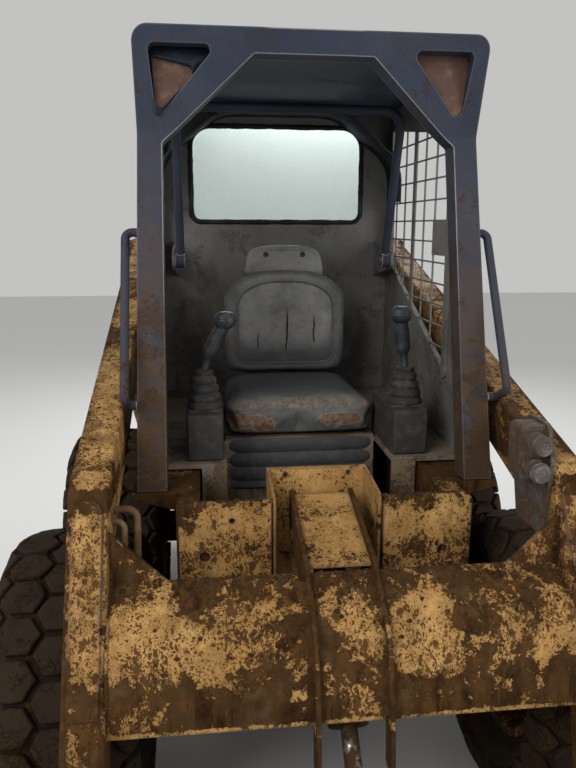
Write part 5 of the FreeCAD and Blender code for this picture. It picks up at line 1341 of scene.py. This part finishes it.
# %% Weld beads
CROSS_TOP, CROSS_LOW, CROSS_BULGE = np.array([-0.862, 0.788]), np.array([-1.026, 0.540]), 0.045
ARM_INNER, RIB_FACES = 0.487, (0.070, 0.080)
# The gusset's two beads from (x, z) to (x, z): up along the arm and across the crossmember's top
GUSSET_Y, GUSSET_RUNS = -0.8705, (((0.4865, 0.776), (0.4865, 0.903)), ((0.36, 0.778), (0.485, 0.778)))


def cross_arc(count):
    """(y, z) points on the crossmember's outer face: the circle through its top, middle and foot."""
    chord = CROSS_LOW - CROSS_TOP
    length = np.linalg.norm(chord)
    out = np.array([chord[1], -chord[0]]) / length
    radius = (length ** 2 / 4 + CROSS_BULGE ** 2) / (2 * CROSS_BULGE)
    centre = (CROSS_TOP + CROSS_LOW) / 2 - out * (radius - CROSS_BULGE)
    half = math.asin(length / 2 / radius)
    angle = np.linspace(-half, half, count)[:, None]
    return centre + radius * (out * np.cos(angle) + chord / length * np.sin(angle))


def weld(path, radius=0.0038, drop=0.005):
    """A bead along a path: the radius rises and falls once for every drop of weld metal."""
    path = np.asarray(path, float)
    run = np.concatenate([[0], np.cumsum(np.linalg.norm(np.diff(path, axis=0), axis=1))])
    count = max(int(run[-1] / drop * 3), 6)
    at = np.linspace(0, run[-1], count)
    path = np.stack([np.interp(at, run, path[:, k]) for k in range(3)], -1)
    wobble = rng.normal(0, 0.0004, (count, 3))
    swell = radius * (0.82 + 0.25 * np.abs(np.sin(at / drop * math.pi)))
    return tube(path + wobble, swell, 6, up=(0.3, 0.2, 1))


def across(points, x):
    return np.concatenate([np.full((len(points), 1), x), points], 1)


beads = []
for side in (-1, 1):
    beads.append(weld(across(cross_arc(40), side * (ARM_INNER - 0.001))))
    beads += [weld(across(cross_arc(40), side * x)) for x in RIB_FACES]
    beads += [weld([(side * x, GUSSET_Y, z) for x, z in run]) for run in GUSSET_RUNS]
build("arm_welds", beads, paint_crossmember, "lift_arms")

# %% [markdown]
# ## Couplers
# The two hydraulic couplers on the right arm push together without tools. Each has a sleeve with
# two raised rings and a hollow front. They are profiles turned about the coupler's axis.

# %% Coupler sleeves
COUPLER_X, COUPLER_HEIGHTS, COUPLER_FRONT = 0.445, (0.985, 1.047), -0.852


def coupler_sleeve(z):
    """(depth behind the front, radius) from the hollow over the lip and rings to the bracket."""
    profile = [(0.020, 0.0), (0.020, 0.010), (0.003, 0.0105), (-0.0005, 0.0125), (-0.0005, 0.0195),
               (0.002, 0.0212), (0.010, 0.0215), (0.0115, 0.0235), (0.018, 0.0235), (0.0195, 0.0210),
               (0.034, 0.0210), (0.0355, 0.0230), (0.044, 0.0230), (0.046, 0.0195)]
    return lathe(profile, (COUPLER_X, COUPLER_FRONT - 0.0015, z), 1, 40)


sleeves = build("coupler_sleeves", [coupler_sleeve(z) for z in COUPLER_HEIGHTS], steel_bracket, "lift_arms")
sleeves.data.set_sharp_from_angle(angle=math.radians(50))

# %% [markdown]
# ## Clods
# Where mud lies thick it has crumbled into small clods. One clod is a ball of only 24 faces whose
# points are pushed in and out at random, and arrays copy it to places on the crossmember and the
# panels. Each lies sunk by half into what carries it.

# %% Clods of dried mud
CLOD_RINGS, CLOD_SIDES, CLOD_SMALLEST, CLOD_LARGEST = 5, 6, 0.0025, 0.0075
CLODS_ACROSS, CROSS_REACH, RIB_MIDDLE, RIB_CLEAR = 260, 0.47, 0.075, 0.014
CLODS_ON_PANELS, PANEL_X, PANEL_Y, PANEL_TOP = 70, (0.13, 0.345), (-0.693, -0.687), 0.8902


def clods(name, places, body):
    """Balls in rings and sides, flattened in Z, with a random size, turn and bumpiness each."""
    count = len(places)
    up = np.linspace(-math.pi / 2, math.pi / 2, CLOD_RINGS)[None, :, None]
    around = np.linspace(0, 2 * math.pi, CLOD_SIDES, endpoint=False)[None, None]
    around = around + rng.uniform(0, 1, count)[:, None, None]
    size = CLOD_SMALLEST + (CLOD_LARGEST - CLOD_SMALLEST) * rng.uniform(0, 1, count)[:, None, None] ** 3
    bumps = 1 + rng.normal(0, 0.16, (count, CLOD_RINGS, CLOD_SIDES))
    bumps[:, [0, -1]] = 1  # the poles stay closed
    ball = np.stack(np.broadcast_arrays(np.cos(up) * np.cos(around), np.cos(up) * np.sin(around),
                                        0.6 * np.sin(up) * np.ones_like(around)), -1)
    points = ball * (size * bumps)[..., None] + np.asarray(places, float)[:, None, None]
    faces = grid_faces(CLOD_RINGS, CLOD_SIDES, wrap_columns=True)
    every = faces[None] + (np.arange(count) * CLOD_RINGS * CLOD_SIDES)[:, None, None]
    return build(name, [(points, every.reshape(-1, 4))], clod_mud, body, smooth=False)


def clod_earth():
    """Dry earth: the three browns of the mud, with a coarse grain."""
    made, board, shader, where = finish("clod_earth", 0.9)
    shade = board.noise(where, 90.0, 5.0, 0.7)
    colour = board.mix(board.step(shade, 0.38, 0.52), MUD_DARK, MUD_MIDDLE)
    feed(board, shader, board.mix(board.step(shade, 0.52, 0.68), colour, MUD_LIGHT))
    raise_surface(board, shader, board.noise(where, 700.0, 4.0, 0.7), 0.8, 0.0008)
    return made


clod_mud = clod_earth()
lying = cross_arc(400)[(rng.beta(0.6, 4.0, CLODS_ACROSS) * 399).astype(int)]
x = rng.uniform(-CROSS_REACH, CROSS_REACH, CLODS_ACROSS)
clear = np.abs(np.abs(x) - RIB_MIDDLE) > RIB_CLEAR
clods("crossmember_clods", np.concatenate([x[:, None], lying], 1)[clear], "lift_arms")
x = rng.choice([-1, 1], CLODS_ON_PANELS) * rng.uniform(*PANEL_X, CLODS_ON_PANELS)
y = rng.uniform(*PANEL_Y, CLODS_ON_PANELS)
clods("panel_clods", np.stack([x, y, np.full(CLODS_ON_PANELS, PANEL_TOP)], -1), "chassis")
